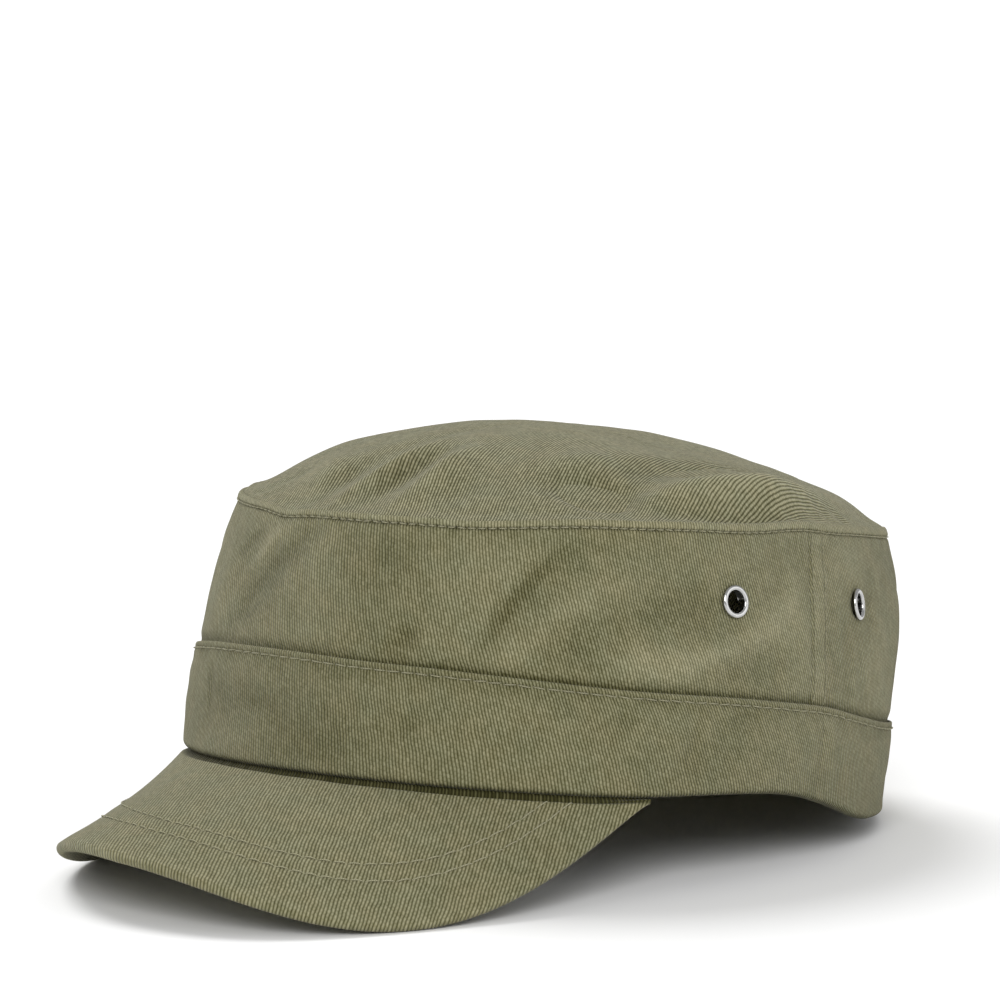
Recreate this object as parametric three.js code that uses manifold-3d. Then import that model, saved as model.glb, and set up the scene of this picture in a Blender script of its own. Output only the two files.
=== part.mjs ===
// A soft cotton cadet cap: a low drum of side panels under a domed top panel, a wide hem band
// outside the drum, a curved visor sewn in under the band and four vent eyelets.
// Millimetres, +Z up. The wearer's front is -Y and the wearer's left is +X. The cap lies on z = 0
// as it rests by itself, on the two low sides of its visor and on the back of its hem.
import * as THREE from 'three';
import { mergeVertices } from 'three/addons/utils/BufferGeometryUtils.js';
import Module from 'manifold-3d';

// Head opening and drum, measured outside on the cap as worn level
const HEAD_WIDTH = 168;
const HEAD_LENGTH = 203;
const OVAL_POWER = 2.12;
const WALL_HEIGHT = 72.5;
const SEAM_SIDE_RISE = 1.9;
const SEAM_FRONT_DIP = 1.2;
const DOME_RISE = 23.9;
const DOME_FULLNESS = 2.44;

// Cloth and the play that sewn pieces keep
const CLOTH = 1.6;
const GAP = 0.3;
const TOP_ALLOWANCE = 3.6;
const TOP_SUNK = 0.8;
const WELT_HEIGHT = 2.2;
const WELT_PROUD = 0.8;

// Hem band, folded double and sewn over the foot of the drum
const BAND_HEIGHT = 27;
const BAND_FRONT_RISE = 6.2;
const BAND_CLOTH = 2;
const BAND_PROUD = 1.3;
const BAND_OVERLAP = 9;
const TUCK_LENGTH = 4;
const HEM_LIFT = 2.8;
const HEM_SIDE_RISE = 1.9;
const HEM_BACK_DROP = 6.6;
const HEM_ROLL = 1.8;
const HEM_ROLL_DEPTH = 1;
const BAND_SIDE_RISE = 1.3;
const BAND_BACK_DROP = 1.3;

// Degrees round from the front at which the hem and the band's upper edge rise along the side
// and drop to the back
const SIDE_RISE_START = 54;
const SIDE_RISE_END = 84;
const BACK_DROP_START = 86;
const BACK_DROP_END = 118;

// Seams down the two sides, in degrees round from the front
const WALL_SEAM_ANGLE = 94.5;
const BAND_SEAM_ANGLE = 95.5;

// Visor
const VISOR_REACH = 53.5;
const VISOR_ANGLE = 65;
const VISOR_THICKNESS = 3;
const VISOR_DROOP = 30;
const VISOR_SQUARE_LEFT = 2.42;
const VISOR_SQUARE_RIGHT = 1.95;
const VISOR_END_LIP = 1.2;
const VISOR_END_THINNING = 0.5;
const VISOR_ALLOWANCE = 6;
const ALLOWANCE_CLOTH = 1.4;

// Vent eyelets
const EYELET_RADIUS = 4.3;
const EYELET_BORE = 2.85;
const EYELET_METAL = 0.35;
const EYELET_PROUD = 0.9;
const EYELET_HEIGHT_SHARE = 0.742;
const EYELET_FRONT_ANGLE = 78.4;
const EYELET_REAR_ANGLE = 106.8;

// How far the cloth is pressed flat where it meets the surface below
const FLOOR_PRESS = 0.45;

const ROUND_STEPS = 60;
const DOME_RINGS = 9;
const WALL_ROWS = 5;
const VISOR_COLUMNS = 36;
const VISOR_ROWS = 6;
const EYELET_SIDES = 16;
const NUDGE = 0.002;

const HALF_WIDTH = HEAD_WIDTH / 2;
const HALF_LENGTH = HEAD_LENGTH / 2;

// Plan of the drum at four heights. height is a share of WALL_HEIGHT, width a share of
// HALF_WIDTH, front and back are shares of HALF_LENGTH.
const WALL_SHAPE = [
  { height: 0.0, width: 1.0, front: 1.02, back: 0.98 },
  { height: 0.37, width: 1.02, front: 0.995, back: 0.995 },
  { height: 0.69, width: 0.983, front: 0.966, back: 1.033 },
  { height: 1.0, width: 0.939, front: 0.89, back: 0.966 },
];

// Level of the visor's edge from its root on the wearer's right (side -1) to its root on the
// left (side 1), as a share of VISOR_DROOP below the hem.
const VISOR_EDGE = [
  { side: -1.0, drop: 0.0 },
  { side: -0.66, drop: 1.0 },
  { side: -0.33, drop: 0.775 },
  { side: 0.0, drop: 0.685 },
  { side: 0.33, drop: 0.95 },
  { side: 0.66, drop: 1.0 },
  { side: 1.0, drop: 0.0 },
];

// Soft folds of the top panel. across is a share of HALF_WIDTH, along, long and wide are shares
// of HALF_LENGTH, turn is in degrees from the front-to-back line, high is a share of DOME_RISE.
const TOP_FOLDS = [
  { across: 0.02, along: -0.68, turn: 8, long: 0.2, wide: 0.055, high: 0.07 },
  { across: 0.21, along: -0.67, turn: -16, long: 0.2, wide: 0.06, high: 0.08 },
  { across: 0.11, along: -0.72, turn: -4, long: 0.18, wide: 0.05, high: -0.06 },
  { across: -0.12, along: -0.74, turn: 14, long: 0.18, wide: 0.06, high: -0.05 },
  { across: 0.68, along: -0.42, turn: -30, long: 0.12, wide: 0.09, high: -0.13 },
  { across: 0.72, along: 0.06, turn: 0, long: 0.34, wide: 0.11, high: 0.12 },
  { across: 0.4, along: 0.08, turn: 0, long: 0.36, wide: 0.16, high: -0.1 },
  { across: -0.7, along: 0.12, turn: 6, long: 0.32, wide: 0.12, high: 0.09 },
  { across: -0.6, along: -0.4, turn: 34, long: 0.16, wide: 0.09, high: 0.08 },
  { across: 0.1, along: 0.7, turn: 78, long: 0.26, wide: 0.1, high: 0.08 },
  { across: 0.62, along: 0.64, turn: -42, long: 0.3, wide: 0.13, high: 0.15 },
];

// Drag folds of the side panels. round is in degrees from the front, up a share of the height
// from the band to the top seam, turn in degrees from upright, long and wide are shares of
// WALL_HEIGHT, high is a share of CLOTH.
const WALL_FOLDS = [
  { round: 62, up: 0.66, turn: 52, long: 0.42, wide: 0.09, high: -0.55 },
  { round: 52, up: 0.38, turn: 48, long: 0.34, wide: 0.08, high: 0.5 },
  { round: 84, up: 0.3, turn: 40, long: 0.26, wide: 0.07, high: -0.45 },
  { round: -13, up: 0.7, turn: 24, long: 0.3, wide: 0.08, high: -0.6 },
  { round: -24, up: 0.5, turn: 20, long: 0.3, wide: 0.08, high: 0.5 },
  { round: -66, up: 0.5, turn: -46, long: 0.38, wide: 0.1, high: -0.5 },
  { round: 128, up: 0.5, turn: 20, long: 0.34, wide: 0.1, high: 0.5 },
  { round: 168, up: 0.55, turn: -30, long: 0.36, wide: 0.1, high: -0.5 },
  { round: -132, up: 0.5, turn: -24, long: 0.34, wide: 0.1, high: 0.5 },
];

const cloth = new THREE.MeshStandardMaterial({ color: 0x7d7a5c, roughness: 0.95, metalness: 0 });
const nickel = new THREE.MeshStandardMaterial({ color: 0xb9bab8, roughness: 0.25, metalness: 1 });

const wasm = await Module();
wasm.setup();

const radians = THREE.MathUtils.degToRad;
const signedPower = (value, power) => Math.sign(value) * Math.abs(value) ** power;

// One smooth curve through all rows of a short table
function throughRows(rows, key, column, at) {
  let sum = 0;
  for (const row of rows) {
    let weight = row[column];
    for (const other of rows) {
      if (other !== row) weight *= (at - other[key]) / (row[key] - other[key]);
    }
    sum += weight;
  }
  return sum;
}

// Sum of long soft bumps at a place given by two lengths
function bumps(folds, across, along) {
  let sum = 0;
  for (const fold of folds) {
    const turn = radians(fold.turn);
    const dx = across - fold.x;
    const dy = along - fold.y;
    const lengthwise = (dx * Math.sin(turn) + dy * Math.cos(turn)) / fold.long;
    const crosswise = (dx * Math.cos(turn) - dy * Math.sin(turn)) / fold.wide;
    sum += fold.high * Math.exp(-(lengthwise ** 2) - crosswise ** 2);
  }
  return sum;
}

// Heights of the hem, the band's upper edge and the top seam round the cap

// Level line that rises along the sides and drops to the back
function sideLine(angle, rise, drop) {
  const degrees = Math.abs(THREE.MathUtils.radToDeg(Math.atan2(Math.sin(angle), Math.cos(angle))));
  const up = THREE.MathUtils.smoothstep(degrees, SIDE_RISE_START, SIDE_RISE_END);
  const down = THREE.MathUtils.smoothstep(degrees, BACK_DROP_START, BACK_DROP_END);
  return rise * up - (rise + drop) * down;
}

function hemHeight(angle) {
  return HEM_LIFT + sideLine(angle, HEM_SIDE_RISE, HEM_BACK_DROP);
}

function bandHeight(angle) {
  const level = BAND_HEIGHT + BAND_FRONT_RISE * Math.cos(angle);
  return level + sideLine(angle, BAND_SIDE_RISE, BAND_BACK_DROP);
}

function seamHeight(angle) {
  return WALL_HEIGHT - SEAM_FRONT_DIP * Math.cos(angle) - SEAM_SIDE_RISE * Math.cos(2 * angle);
}

// Lower end of the top panel's edge, which is turned down inside the drum
function topFoot(angle) {
  return seamHeight(angle) - WELT_HEIGHT - TOP_ALLOWANCE;
}

// Plan point of the drum's face at an angle round from the front and a height. Below the lowest
// row the face drops straight down.
function planPoint(angle, height) {
  const share = Math.max(height / WALL_HEIGHT, WALL_SHAPE[0].height);
  const width = HALF_WIDTH * throughRows(WALL_SHAPE, 'height', 'width', share);
  const end = Math.cos(angle) > 0 ? 'front' : 'back';
  const length = HALF_LENGTH * throughRows(WALL_SHAPE, 'height', end, share);
  const power = 2 / OVAL_POWER;
  return new THREE.Vector3(
    width * signedPower(Math.sin(angle), power),
    -length * signedPower(Math.cos(angle), power),
    height,
  );
}

const wallFolds = WALL_FOLDS.map((fold) => ({
  x: radians(fold.round) * HALF_WIDTH,
  y: fold.up,
  turn: fold.turn,
  long: fold.long * WALL_HEIGHT,
  wide: fold.wide * WALL_HEIGHT,
  high: fold.high * CLOTH,
}));

// Drag folds fade out at the band and at the top seam
function wallFoldDepth(angle, height) {
  const low = bandHeight(angle);
  const span = seamHeight(angle) - WELT_HEIGHT - low;
  const up = (height - low) / span;
  if (up <= 0 || up >= 1) return 0;
  const round = Math.atan2(Math.sin(angle), Math.cos(angle)) * HALF_WIDTH;
  const placed = wallFolds.map((fold) => ({ ...fold, y: fold.y * span }));
  return Math.sin(Math.PI * up) * bumps(placed, round, up * span);
}

// Point on the drum's face pushed out along its level normal
function wallPoint(angle, height, out) {
  const point = planPoint(angle, height);
  const along = planPoint(angle + NUDGE, height).sub(planPoint(angle - NUDGE, height)).normalize();
  const push = out + wallFoldDepth(angle, height);
  point.x += along.y * push;
  point.y -= along.x * push;
  return point;
}

// Closed body between two grids of points with the same rows and columns. Rows run up and
// columns run round, seen from the outer side. A looped slab joins its last column to its first.
function slab(outer, inner, looped = false) {
  const rows = outer.length;
  const columns = outer[0].length;
  const points = [...outer.flat(), ...inner.flat()];
  const index = [];
  const at = (side, row, column) => (side * rows + row) * columns + (column % columns);
  const quad = (a, b, c, d) => index.push(a, b, c, a, c, d);
  const spans = looped ? columns : columns - 1;
  for (let column = 0; column < spans; column++) {
    const next = column + 1;
    for (let row = 0; row + 1 < rows; row++) {
      quad(at(0, row, column), at(0, row, next), at(0, row + 1, next), at(0, row + 1, column));
      quad(at(1, row, column), at(1, row + 1, column), at(1, row + 1, next), at(1, row, next));
    }
    quad(at(1, 0, column), at(1, 0, next), at(0, 0, next), at(0, 0, column));
    const last = rows - 1;
    quad(at(0, last, column), at(0, last, next), at(1, last, next), at(1, last, column));
  }
  if (!looped) {
    const end = columns - 1;
    for (let row = 0; row + 1 < rows; row++) {
      quad(at(1, row, 0), at(0, row, 0), at(0, row + 1, 0), at(1, row + 1, 0));
      quad(at(0, row, end), at(1, row, end), at(1, row + 1, end), at(0, row + 1, end));
    }
  }
  const geometry = new THREE.BufferGeometry();
  geometry.setAttribute('position', new THREE.Float32BufferAttribute(points.flatMap((p) => p.toArray()), 3));
  geometry.setIndex(index);
  return withoutSlivers(mergeVertices(geometry));
}

// Triangles that merging has folded to a line are dropped
function withoutSlivers(geometry) {
  const source = geometry.getIndex().array;
  const kept = [];
  for (let i = 0; i < source.length; i += 3) {
    const [a, b, c] = [source[i], source[i + 1], source[i + 2]];
    if (a !== b && b !== c && c !== a) kept.push(a, b, c);
  }
  geometry.setIndex(kept);
  return geometry;
}

function toSolid(geometry) {
  const vertProperties = new Float32Array(geometry.getAttribute('position').array);
  const triVerts = new Uint32Array(geometry.getIndex().array);
  return new wasm.Manifold(new wasm.Mesh({ numProp: 3, vertProperties, triVerts }));
}

function toGeometry(solid) {
  const mesh = solid.getMesh();
  const geometry = new THREE.BufferGeometry();
  geometry.setAttribute('position', new THREE.Float32BufferAttribute(mesh.vertProperties, 3));
  geometry.setIndex([...mesh.triVerts]);
  return geometry;
}

// Angles from one seam to the next, with the cloth's ends a small gap short of them
function panelAngles(from, to) {
  const trim = GAP / 2 / HALF_WIDTH;
  const first = radians(from) + trim;
  const last = radians(to) - trim;
  const step = (2 * Math.PI) / ROUND_STEPS;
  const angles = [first];
  for (let k = Math.ceil(first / step); k * step < last; k++) {
    const angle = k * step;
    const clear = step / 5;
    if (angle - first > clear && last - angle > clear) angles.push(angle);
  }
  angles.push(last);
  return angles;
}

const grid = (rows, columns, place) => rows.map((row) => columns.map((column) => place(row, column)));

// The drum's face and the band's inner face step inwards together behind the band
const WALL_FACE = -BAND_PROUD / 2;
const BAND_FACE = BAND_PROUD / 2;
const TUCK_DEPTH = BAND_CLOTH - BAND_PROUD + GAP;
const tuck = (below) => TUCK_DEPTH * THREE.MathUtils.smoothstep(below, 0, TUCK_LENGTH);

// Rows of a side panel from its foot behind the band to the welt at the top seam. Each gives
// the height as a function of the angle and how far its face and its back stand out.
function wallRows() {
  const behind = [BAND_OVERLAP, TUCK_LENGTH, TUCK_LENGTH / 2, 0].map((below) => ({
    height: (angle) => bandHeight(angle) - below,
    face: WALL_FACE - tuck(below),
    back: WALL_FACE - tuck(below) - CLOTH,
  }));
  const open = [];
  for (let k = 1; k <= WALL_ROWS; k++) {
    const share = k / WALL_ROWS;
    open.push({
      height: (angle) => THREE.MathUtils.lerp(bandHeight(angle), topFoot(angle), share),
      face: WALL_FACE,
      back: WALL_FACE - CLOTH,
    });
  }
  const roll = WELT_HEIGHT / 4;
  const welt = [
    { below: WELT_HEIGHT, proud: 0 },
    { below: WELT_HEIGHT - roll, proud: WELT_PROUD },
    { below: roll, proud: WELT_PROUD },
    { below: 0, proud: 0 },
  ].map(({ below, proud }) => ({
    height: (angle) => seamHeight(angle) - below,
    face: WALL_FACE + proud,
    back: WALL_FACE - CLOTH,
  }));
  return [...behind, ...open, ...welt];
}

function sidePanel(from, to) {
  const rows = wallRows();
  const angles = panelAngles(from, to);
  const outer = grid(rows, angles, (row, angle) => wallPoint(angle, row.height(angle), row.face));
  const inner = grid(rows, angles, (row, angle) => wallPoint(angle, row.height(angle), row.back));
  return slab(outer, inner);
}

// Rows of the band from its rolled hem up to the folded edge over the drum
function bandRows() {
  const inside = BAND_FACE - BAND_CLOTH;
  const hem = [
    { up: 0, roll: HEM_ROLL_DEPTH },
    { up: HEM_ROLL / 4, roll: HEM_ROLL_DEPTH / 3 },
    { up: HEM_ROLL, roll: 0 },
  ].map(({ up, roll }) => ({
    height: (angle) => hemHeight(angle) + up,
    face: BAND_FACE - roll,
    back: inside,
  }));
  const middle = {
    height: (angle) => (hemHeight(angle) + bandHeight(angle)) / 2,
    face: BAND_FACE,
    back: inside,
  };
  const edge = [TUCK_LENGTH, TUCK_LENGTH / 2, BAND_PROUD / 4, 0].map((below) => ({
    height: (angle) => bandHeight(angle) - below,
    face: below > 0 ? BAND_FACE : BAND_FACE - BAND_PROUD / 4,
    back: WALL_FACE + GAP - tuck(below),
  }));
  return [...hem, middle, ...edge];
}

function band(from, to) {
  const rows = bandRows();
  const angles = panelAngles(from, to);
  const outer = grid(rows, angles, (row, angle) => wallPoint(angle, row.height(angle), row.face));
  const inner = grid(rows, angles, (row, angle) => wallPoint(angle, row.height(angle), row.back));
  return slab(outer, inner);
}

const topFolds = TOP_FOLDS.map((fold) => ({
  x: fold.across * HALF_WIDTH,
  y: fold.along * HALF_LENGTH,
  turn: fold.turn,
  long: fold.long * HALF_LENGTH,
  wide: fold.wide * HALF_LENGTH,
  high: fold.high * DOME_RISE,
}));

// Point of the top panel's dome: share runs from 0 in the middle to 1 at the seam
function domePoint(angle, share, out, lowered) {
  const rim = wallPoint(angle, seamHeight(angle) - TOP_SUNK, out);
  const x = rim.x * share;
  const y = rim.y * share;
  const base = THREE.MathUtils.lerp(WALL_HEIGHT - TOP_SUNK, rim.z, share);
  const rise = DOME_RISE * (1 - share ** DOME_FULLNESS);
  const folds = (1 - share ** 8) * bumps(topFolds, x, y);
  return new THREE.Vector3(x, y, base + rise + folds - lowered);
}

// The top panel's edge is turned down inside the drum as a seam allowance
function topPanel() {
  const angles = [];
  for (let k = 0; k < ROUND_STEPS; k++) angles.push((2 * Math.PI * k) / ROUND_STEPS);
  const face = WALL_FACE - CLOTH - GAP;
  const back = face - CLOTH;
  const rows = [{ up: 0 }, { up: TOP_ALLOWANCE }];
  for (let k = DOME_RINGS; k >= 0; k--) rows.push({ share: (k / DOME_RINGS) ** 0.8 });
  const place = (out, lowered) => (row, angle) => {
    if (row.share === undefined) return wallPoint(angle, topFoot(angle) + row.up, out);
    return domePoint(angle, row.share, out, lowered);
  };
  return slab(grid(rows, angles, place(face, 0)), grid(rows, angles, place(back, CLOTH)), true);
}

// Visor. side runs from -1 on the wearer's right to 1 on the left.

function visorRoot(side) {
  const angle = radians(VISOR_ANGLE) * side;
  return wallPoint(angle, hemHeight(angle) - GAP, 0);
}

function visorEdge(side) {
  const end = visorRoot(1);
  const turn = (Math.PI / 2) * Math.abs(side);
  const power = 2 / (side < 0 ? VISOR_SQUARE_RIGHT : VISOR_SQUARE_LEFT);
  const tip = -HALF_LENGTH * WALL_SHAPE[0].front - VISOR_REACH;
  const drop = VISOR_DROOP * throughRows(VISOR_EDGE, 'side', 'drop', side);
  const lip = VISOR_END_LIP * Math.abs(side) ** 8;
  return new THREE.Vector3(
    Math.sign(side) * end.x * Math.sin(turn) ** power,
    end.y + (tip - end.y) * Math.cos(turn) ** power,
    end.z - drop - lip,
  );
}

const visorPoint = (side, share) => visorRoot(side).lerp(visorEdge(side), share);

function visorNormal(side, share) {
  const step = NUDGE * 4;
  const middle = THREE.MathUtils.clamp(side, -1 + step, 1 - step);
  const outwards = visorEdge(middle).sub(visorRoot(middle));
  const sideways = visorPoint(middle + step, share).sub(visorPoint(middle - step, share));
  return outwards.cross(sideways).normalize();
}

// Upper and lower point of the visor at one row: from the allowance inside the band, under the
// hem, out to the rounded edge
function visorPair(row, side) {
  const angle = radians(VISOR_ANGLE) * side;
  const thickness = VISOR_THICKNESS * (1 - VISOR_END_THINNING * Math.abs(side) ** 6);
  const inside = BAND_FACE - BAND_CLOTH - GAP;
  if (row.allowance !== undefined) {
    const up = hemHeight(angle) - GAP + row.allowance;
    const down = row.allowance > 0 ? 0 : (thickness / 2) * visorNormal(side, 0).z;
    return [wallPoint(angle, up, inside), wallPoint(angle, up - down, inside - ALLOWANCE_CLOTH)];
  }
  const length = visorEdge(side).distanceTo(visorRoot(side));
  const rounding = Math.min((row.round * thickness) / length, row.round / 3);
  const share = row.round === undefined ? row.share : 1 - rounding;
  const normal = visorNormal(side, share);
  const upper = visorPoint(side, share).addScaledVector(normal, -thickness * (row.sunk ?? 0));
  const lower = upper.clone().addScaledVector(normal, -thickness * (row.thick ?? 1));
  return [upper, lower];
}

function visor() {
  const rows = [{ allowance: VISOR_ALLOWANCE }, { allowance: 0 }];
  for (let k = 0; k < VISOR_ROWS; k++) rows.push({ share: (0.66 * k) / (VISOR_ROWS - 1) });
  rows.push({ round: 0.9 }, { round: 0.3, sunk: 0.1, thick: 0.8 }, { round: 0, sunk: 0.3, thick: 0.4 });
  const sides = [];
  for (let k = 0; k <= VISOR_COLUMNS; k++) sides.push((2 * k) / VISOR_COLUMNS - 1);
  const pairs = grid(rows, sides, visorPair);
  const upper = pairs.map((row) => row.map((pair) => pair[0]));
  const lower = pairs.map((row) => row.map((pair) => pair[1]));
  return slab(lower, upper);
}

// Vent eyelets, their places and the holes they need

function eyeletSeat(angle) {
  const height = WALL_HEIGHT * EYELET_HEIGHT_SHARE;
  const centre = wallPoint(angle, height, WALL_FACE);
  const round = wallPoint(angle + NUDGE, height, WALL_FACE).sub(centre);
  const up = wallPoint(angle, height + NUDGE * HALF_WIDTH, WALL_FACE).sub(centre);
  return { centre, normal: round.cross(up).normalize() };
}

const EYELET_HOLE = EYELET_BORE + EYELET_METAL + GAP;

function eyeletHole(angle) {
  const { centre, normal } = eyeletSeat(angle);
  const drill = new THREE.CylinderGeometry(EYELET_HOLE, EYELET_HOLE, CLOTH * 4, EYELET_SIDES);
  drill.deleteAttribute('normal');
  drill.deleteAttribute('uv');
  drill.applyQuaternion(new THREE.Quaternion().setFromUnitVectors(new THREE.Vector3(0, 1, 0), normal));
  drill.translate(centre.x, centre.y, centre.z);
  return toSolid(mergeVertices(drill));
}

function pierced(panel, angles) {
  const holes = angles.map(eyeletHole);
  return toGeometry(holes.reduce((solid, hole) => solid.subtract(hole), toSolid(panel)));
}

// A rolled ring outside, a barrel through the cloth and a washer inside, in one spun piece
function eyelet() {
  const barrel = EYELET_BORE + EYELET_METAL;
  const crown = (EYELET_BORE + EYELET_RADIUS) / 2;
  const washer = -CLOTH - GAP;
  const profile = [
    [EYELET_BORE, washer - EYELET_METAL],
    [EYELET_RADIUS, washer - EYELET_METAL],
    [EYELET_RADIUS, washer],
    [barrel, washer],
    [barrel, GAP],
    [EYELET_RADIUS, GAP],
    [EYELET_RADIUS, GAP + EYELET_METAL],
    [crown + EYELET_METAL, EYELET_PROUD],
    [crown - EYELET_METAL, EYELET_PROUD],
    [EYELET_BORE, GAP + EYELET_METAL],
    [EYELET_BORE, washer - EYELET_METAL],
  ].map(([radius, height]) => new THREE.Vector2(radius, height));
  return new THREE.LatheGeometry(profile, EYELET_SIDES);
}

// Resting pose: the lean at which the visor and the back of the hem meet the surface together

function lowest(geometry, lean) {
  const position = geometry.getAttribute('position');
  let least = Infinity;
  for (let i = 0; i < position.count; i++) {
    const level = -position.getY(i) * Math.sin(lean) + position.getZ(i) * Math.cos(lean);
    least = Math.min(least, level);
  }
  return least;
}

function restingLean(front, back) {
  let low = 0;
  let high = radians(30);
  for (let k = 0; k < 40; k++) {
    const middle = (low + high) / 2;
    if (lowest(front, middle) < lowest(back, middle)) low = middle;
    else high = middle;
  }
  return (low + high) / 2;
}

// Points below the surface are pressed up onto it
function pressFlat(geometry, matrix) {
  const back = matrix.clone().invert();
  const position = geometry.getAttribute('position');
  const point = new THREE.Vector3();
  for (let i = 0; i < position.count; i++) {
    point.fromBufferAttribute(position, i).applyMatrix4(matrix);
    if (point.z >= 0) continue;
    point.setZ(0).applyMatrix4(back);
    position.setXYZ(i, point.x, point.y, point.z);
  }
}

const frontAngle = radians(EYELET_FRONT_ANGLE);
const rearAngle = radians(EYELET_REAR_ANGLE);
const pieces = {
  top_panel: topPanel(),
  side_panel_front: pierced(sidePanel(-WALL_SEAM_ANGLE, WALL_SEAM_ANGLE), [-frontAngle, frontAngle]),
  side_panel_back: pierced(sidePanel(WALL_SEAM_ANGLE, 360 - WALL_SEAM_ANGLE), [-rearAngle, rearAngle]),
  band_front: band(-BAND_SEAM_ANGLE, BAND_SEAM_ANGLE),
  band_back: band(BAND_SEAM_ANGLE, 360 - BAND_SEAM_ANGLE),
  visor: visor(),
};

const cap = new THREE.Group();
for (const [name, geometry] of Object.entries(pieces)) {
  const mesh = new THREE.Mesh(geometry, cloth);
  mesh.name = name;
  cap.add(mesh);
}
const eyelets = {
  eyelet_left_front: frontAngle,
  eyelet_left_rear: rearAngle,
  eyelet_right_front: -frontAngle,
  eyelet_right_rear: -rearAngle,
};
for (const [name, angle] of Object.entries(eyelets)) {
  const { centre, normal } = eyeletSeat(angle);
  const mesh = new THREE.Mesh(eyelet(), nickel);
  mesh.name = name;
  mesh.position.copy(centre);
  mesh.quaternion.setFromUnitVectors(new THREE.Vector3(0, 1, 0), normal);
  cap.add(mesh);
}

const lean = restingLean(pieces.visor, pieces.band_back);
cap.rotation.x = -lean;
cap.updateMatrixWorld(true);
const box = new THREE.Box3().setFromObject(cap, true);
const middle = box.getCenter(new THREE.Vector3());
cap.position.set(-middle.x, -middle.y, -lowest(pieces.visor, lean) - FLOOR_PRESS);
cap.updateMatrixWorld(true);
for (const name of ['visor', 'band_front', 'band_back']) pressFlat(pieces[name], cap.matrixWorld);

const part = new THREE.Group();
part.add(cap);

export default part;
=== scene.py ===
from math import copysign, cos, dist, hypot, pi, radians, sin, sqrt

import bpy
import numpy as np
from mathutils import Matrix, Vector


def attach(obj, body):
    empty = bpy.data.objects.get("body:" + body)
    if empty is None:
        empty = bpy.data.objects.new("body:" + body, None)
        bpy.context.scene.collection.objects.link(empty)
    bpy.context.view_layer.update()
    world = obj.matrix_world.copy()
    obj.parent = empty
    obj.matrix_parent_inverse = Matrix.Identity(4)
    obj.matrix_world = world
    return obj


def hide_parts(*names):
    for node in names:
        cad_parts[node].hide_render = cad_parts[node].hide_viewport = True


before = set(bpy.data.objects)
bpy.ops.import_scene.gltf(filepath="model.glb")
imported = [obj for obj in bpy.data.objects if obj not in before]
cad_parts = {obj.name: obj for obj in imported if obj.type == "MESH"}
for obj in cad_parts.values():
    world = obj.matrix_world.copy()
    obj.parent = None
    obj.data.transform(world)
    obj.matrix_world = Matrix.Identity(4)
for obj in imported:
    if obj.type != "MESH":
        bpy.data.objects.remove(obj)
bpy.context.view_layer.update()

# A cadet cap in olive cotton twill. Its cloth is modelled level, in millimetres, with the wearer's
# front at -Y, and is then laid on the surface at the same lean as the solids.
MM = 0.001

# Sizes of the solids, in millimetres and degrees
HEAD_WIDTH = 168.0
HEAD_LENGTH = 203.0
OVAL_POWER = 2.12
WALL_HEIGHT = 72.5
SEAM_SIDE_RISE = 1.9
SEAM_FRONT_DIP = 1.2
DOME_RISE = 23.9
DOME_FULLNESS = 2.44
CLOTH = 1.6
GAP = 0.3
TOP_ALLOWANCE = 3.6
TOP_SUNK = 0.8
WELT_HEIGHT = 2.2
BAND_HEIGHT = 27.0
BAND_FRONT_RISE = 6.2
BAND_CLOTH = 2.0
BAND_PROUD = 1.3
BAND_OVERLAP = 9.0
TUCK_LENGTH = 4.0
HEM_LIFT = 2.8
HEM_SIDE_RISE = 1.9
HEM_BACK_DROP = 6.6
BAND_SIDE_RISE = 1.3
BAND_BACK_DROP = 1.3
SIDE_RISE = (54.0, 84.0)
BACK_DROP = (86.0, 118.0)
WALL_SEAM_ANGLE = 94.5
BAND_SEAM_ANGLE = 95.5
VISOR_REACH = 53.5
VISOR_ANGLE = 65.0
VISOR_THICKNESS = 3.0
VISOR_DROOP = 30.0
VISOR_SQUARE_LEFT = 2.42
VISOR_SQUARE_RIGHT = 1.95
VISOR_END_LIP = 1.2
VISOR_END_THINNING = 0.5
VISOR_ALLOWANCE = 6.0
ALLOWANCE_CLOTH = 1.4
EYELET_RADIUS = 4.3
EYELET_BORE = 2.85
EYELET_METAL = 0.35
EYELET_HEIGHT_SHARE = 0.742
EYELET_FRONT_ANGLE = 78.4
EYELET_REAR_ANGLE = 106.8
LEAN = radians(6.9474)
SEAT = (0.0, 23.941, 15.311)

HALF_WIDTH = HEAD_WIDTH / 2
HALF_LENGTH = HEAD_LENGTH / 2
WALL_FACE = -BAND_PROUD / 2
BAND_FACE = BAND_PROUD / 2
TUCK_DEPTH = BAND_CLOTH - BAND_PROUD + GAP
NUDGE = 0.002

# Plan of the drum at heights in shares of WALL_HEIGHT: its width in shares of HALF_WIDTH, its
# front and its back in shares of HALF_LENGTH
PLAN_HEIGHTS = (0.0, 0.37, 0.69, 1.0)
PLAN_SIZES = ((1.0, 1.02, 0.983, 0.939), (1.02, 0.995, 0.966, 0.89), (0.98, 0.995, 1.033, 0.966))

# Droop of the visor's edge, in shares of VISOR_DROOP
VISOR_SIDES = (-1.0, -0.66, -0.33, 0.0, 0.33, 0.66, 1.0)
VISOR_DROPS = (0.0, 1.0, 0.775, 0.685, 0.95, 1.0, 0.0)

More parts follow.
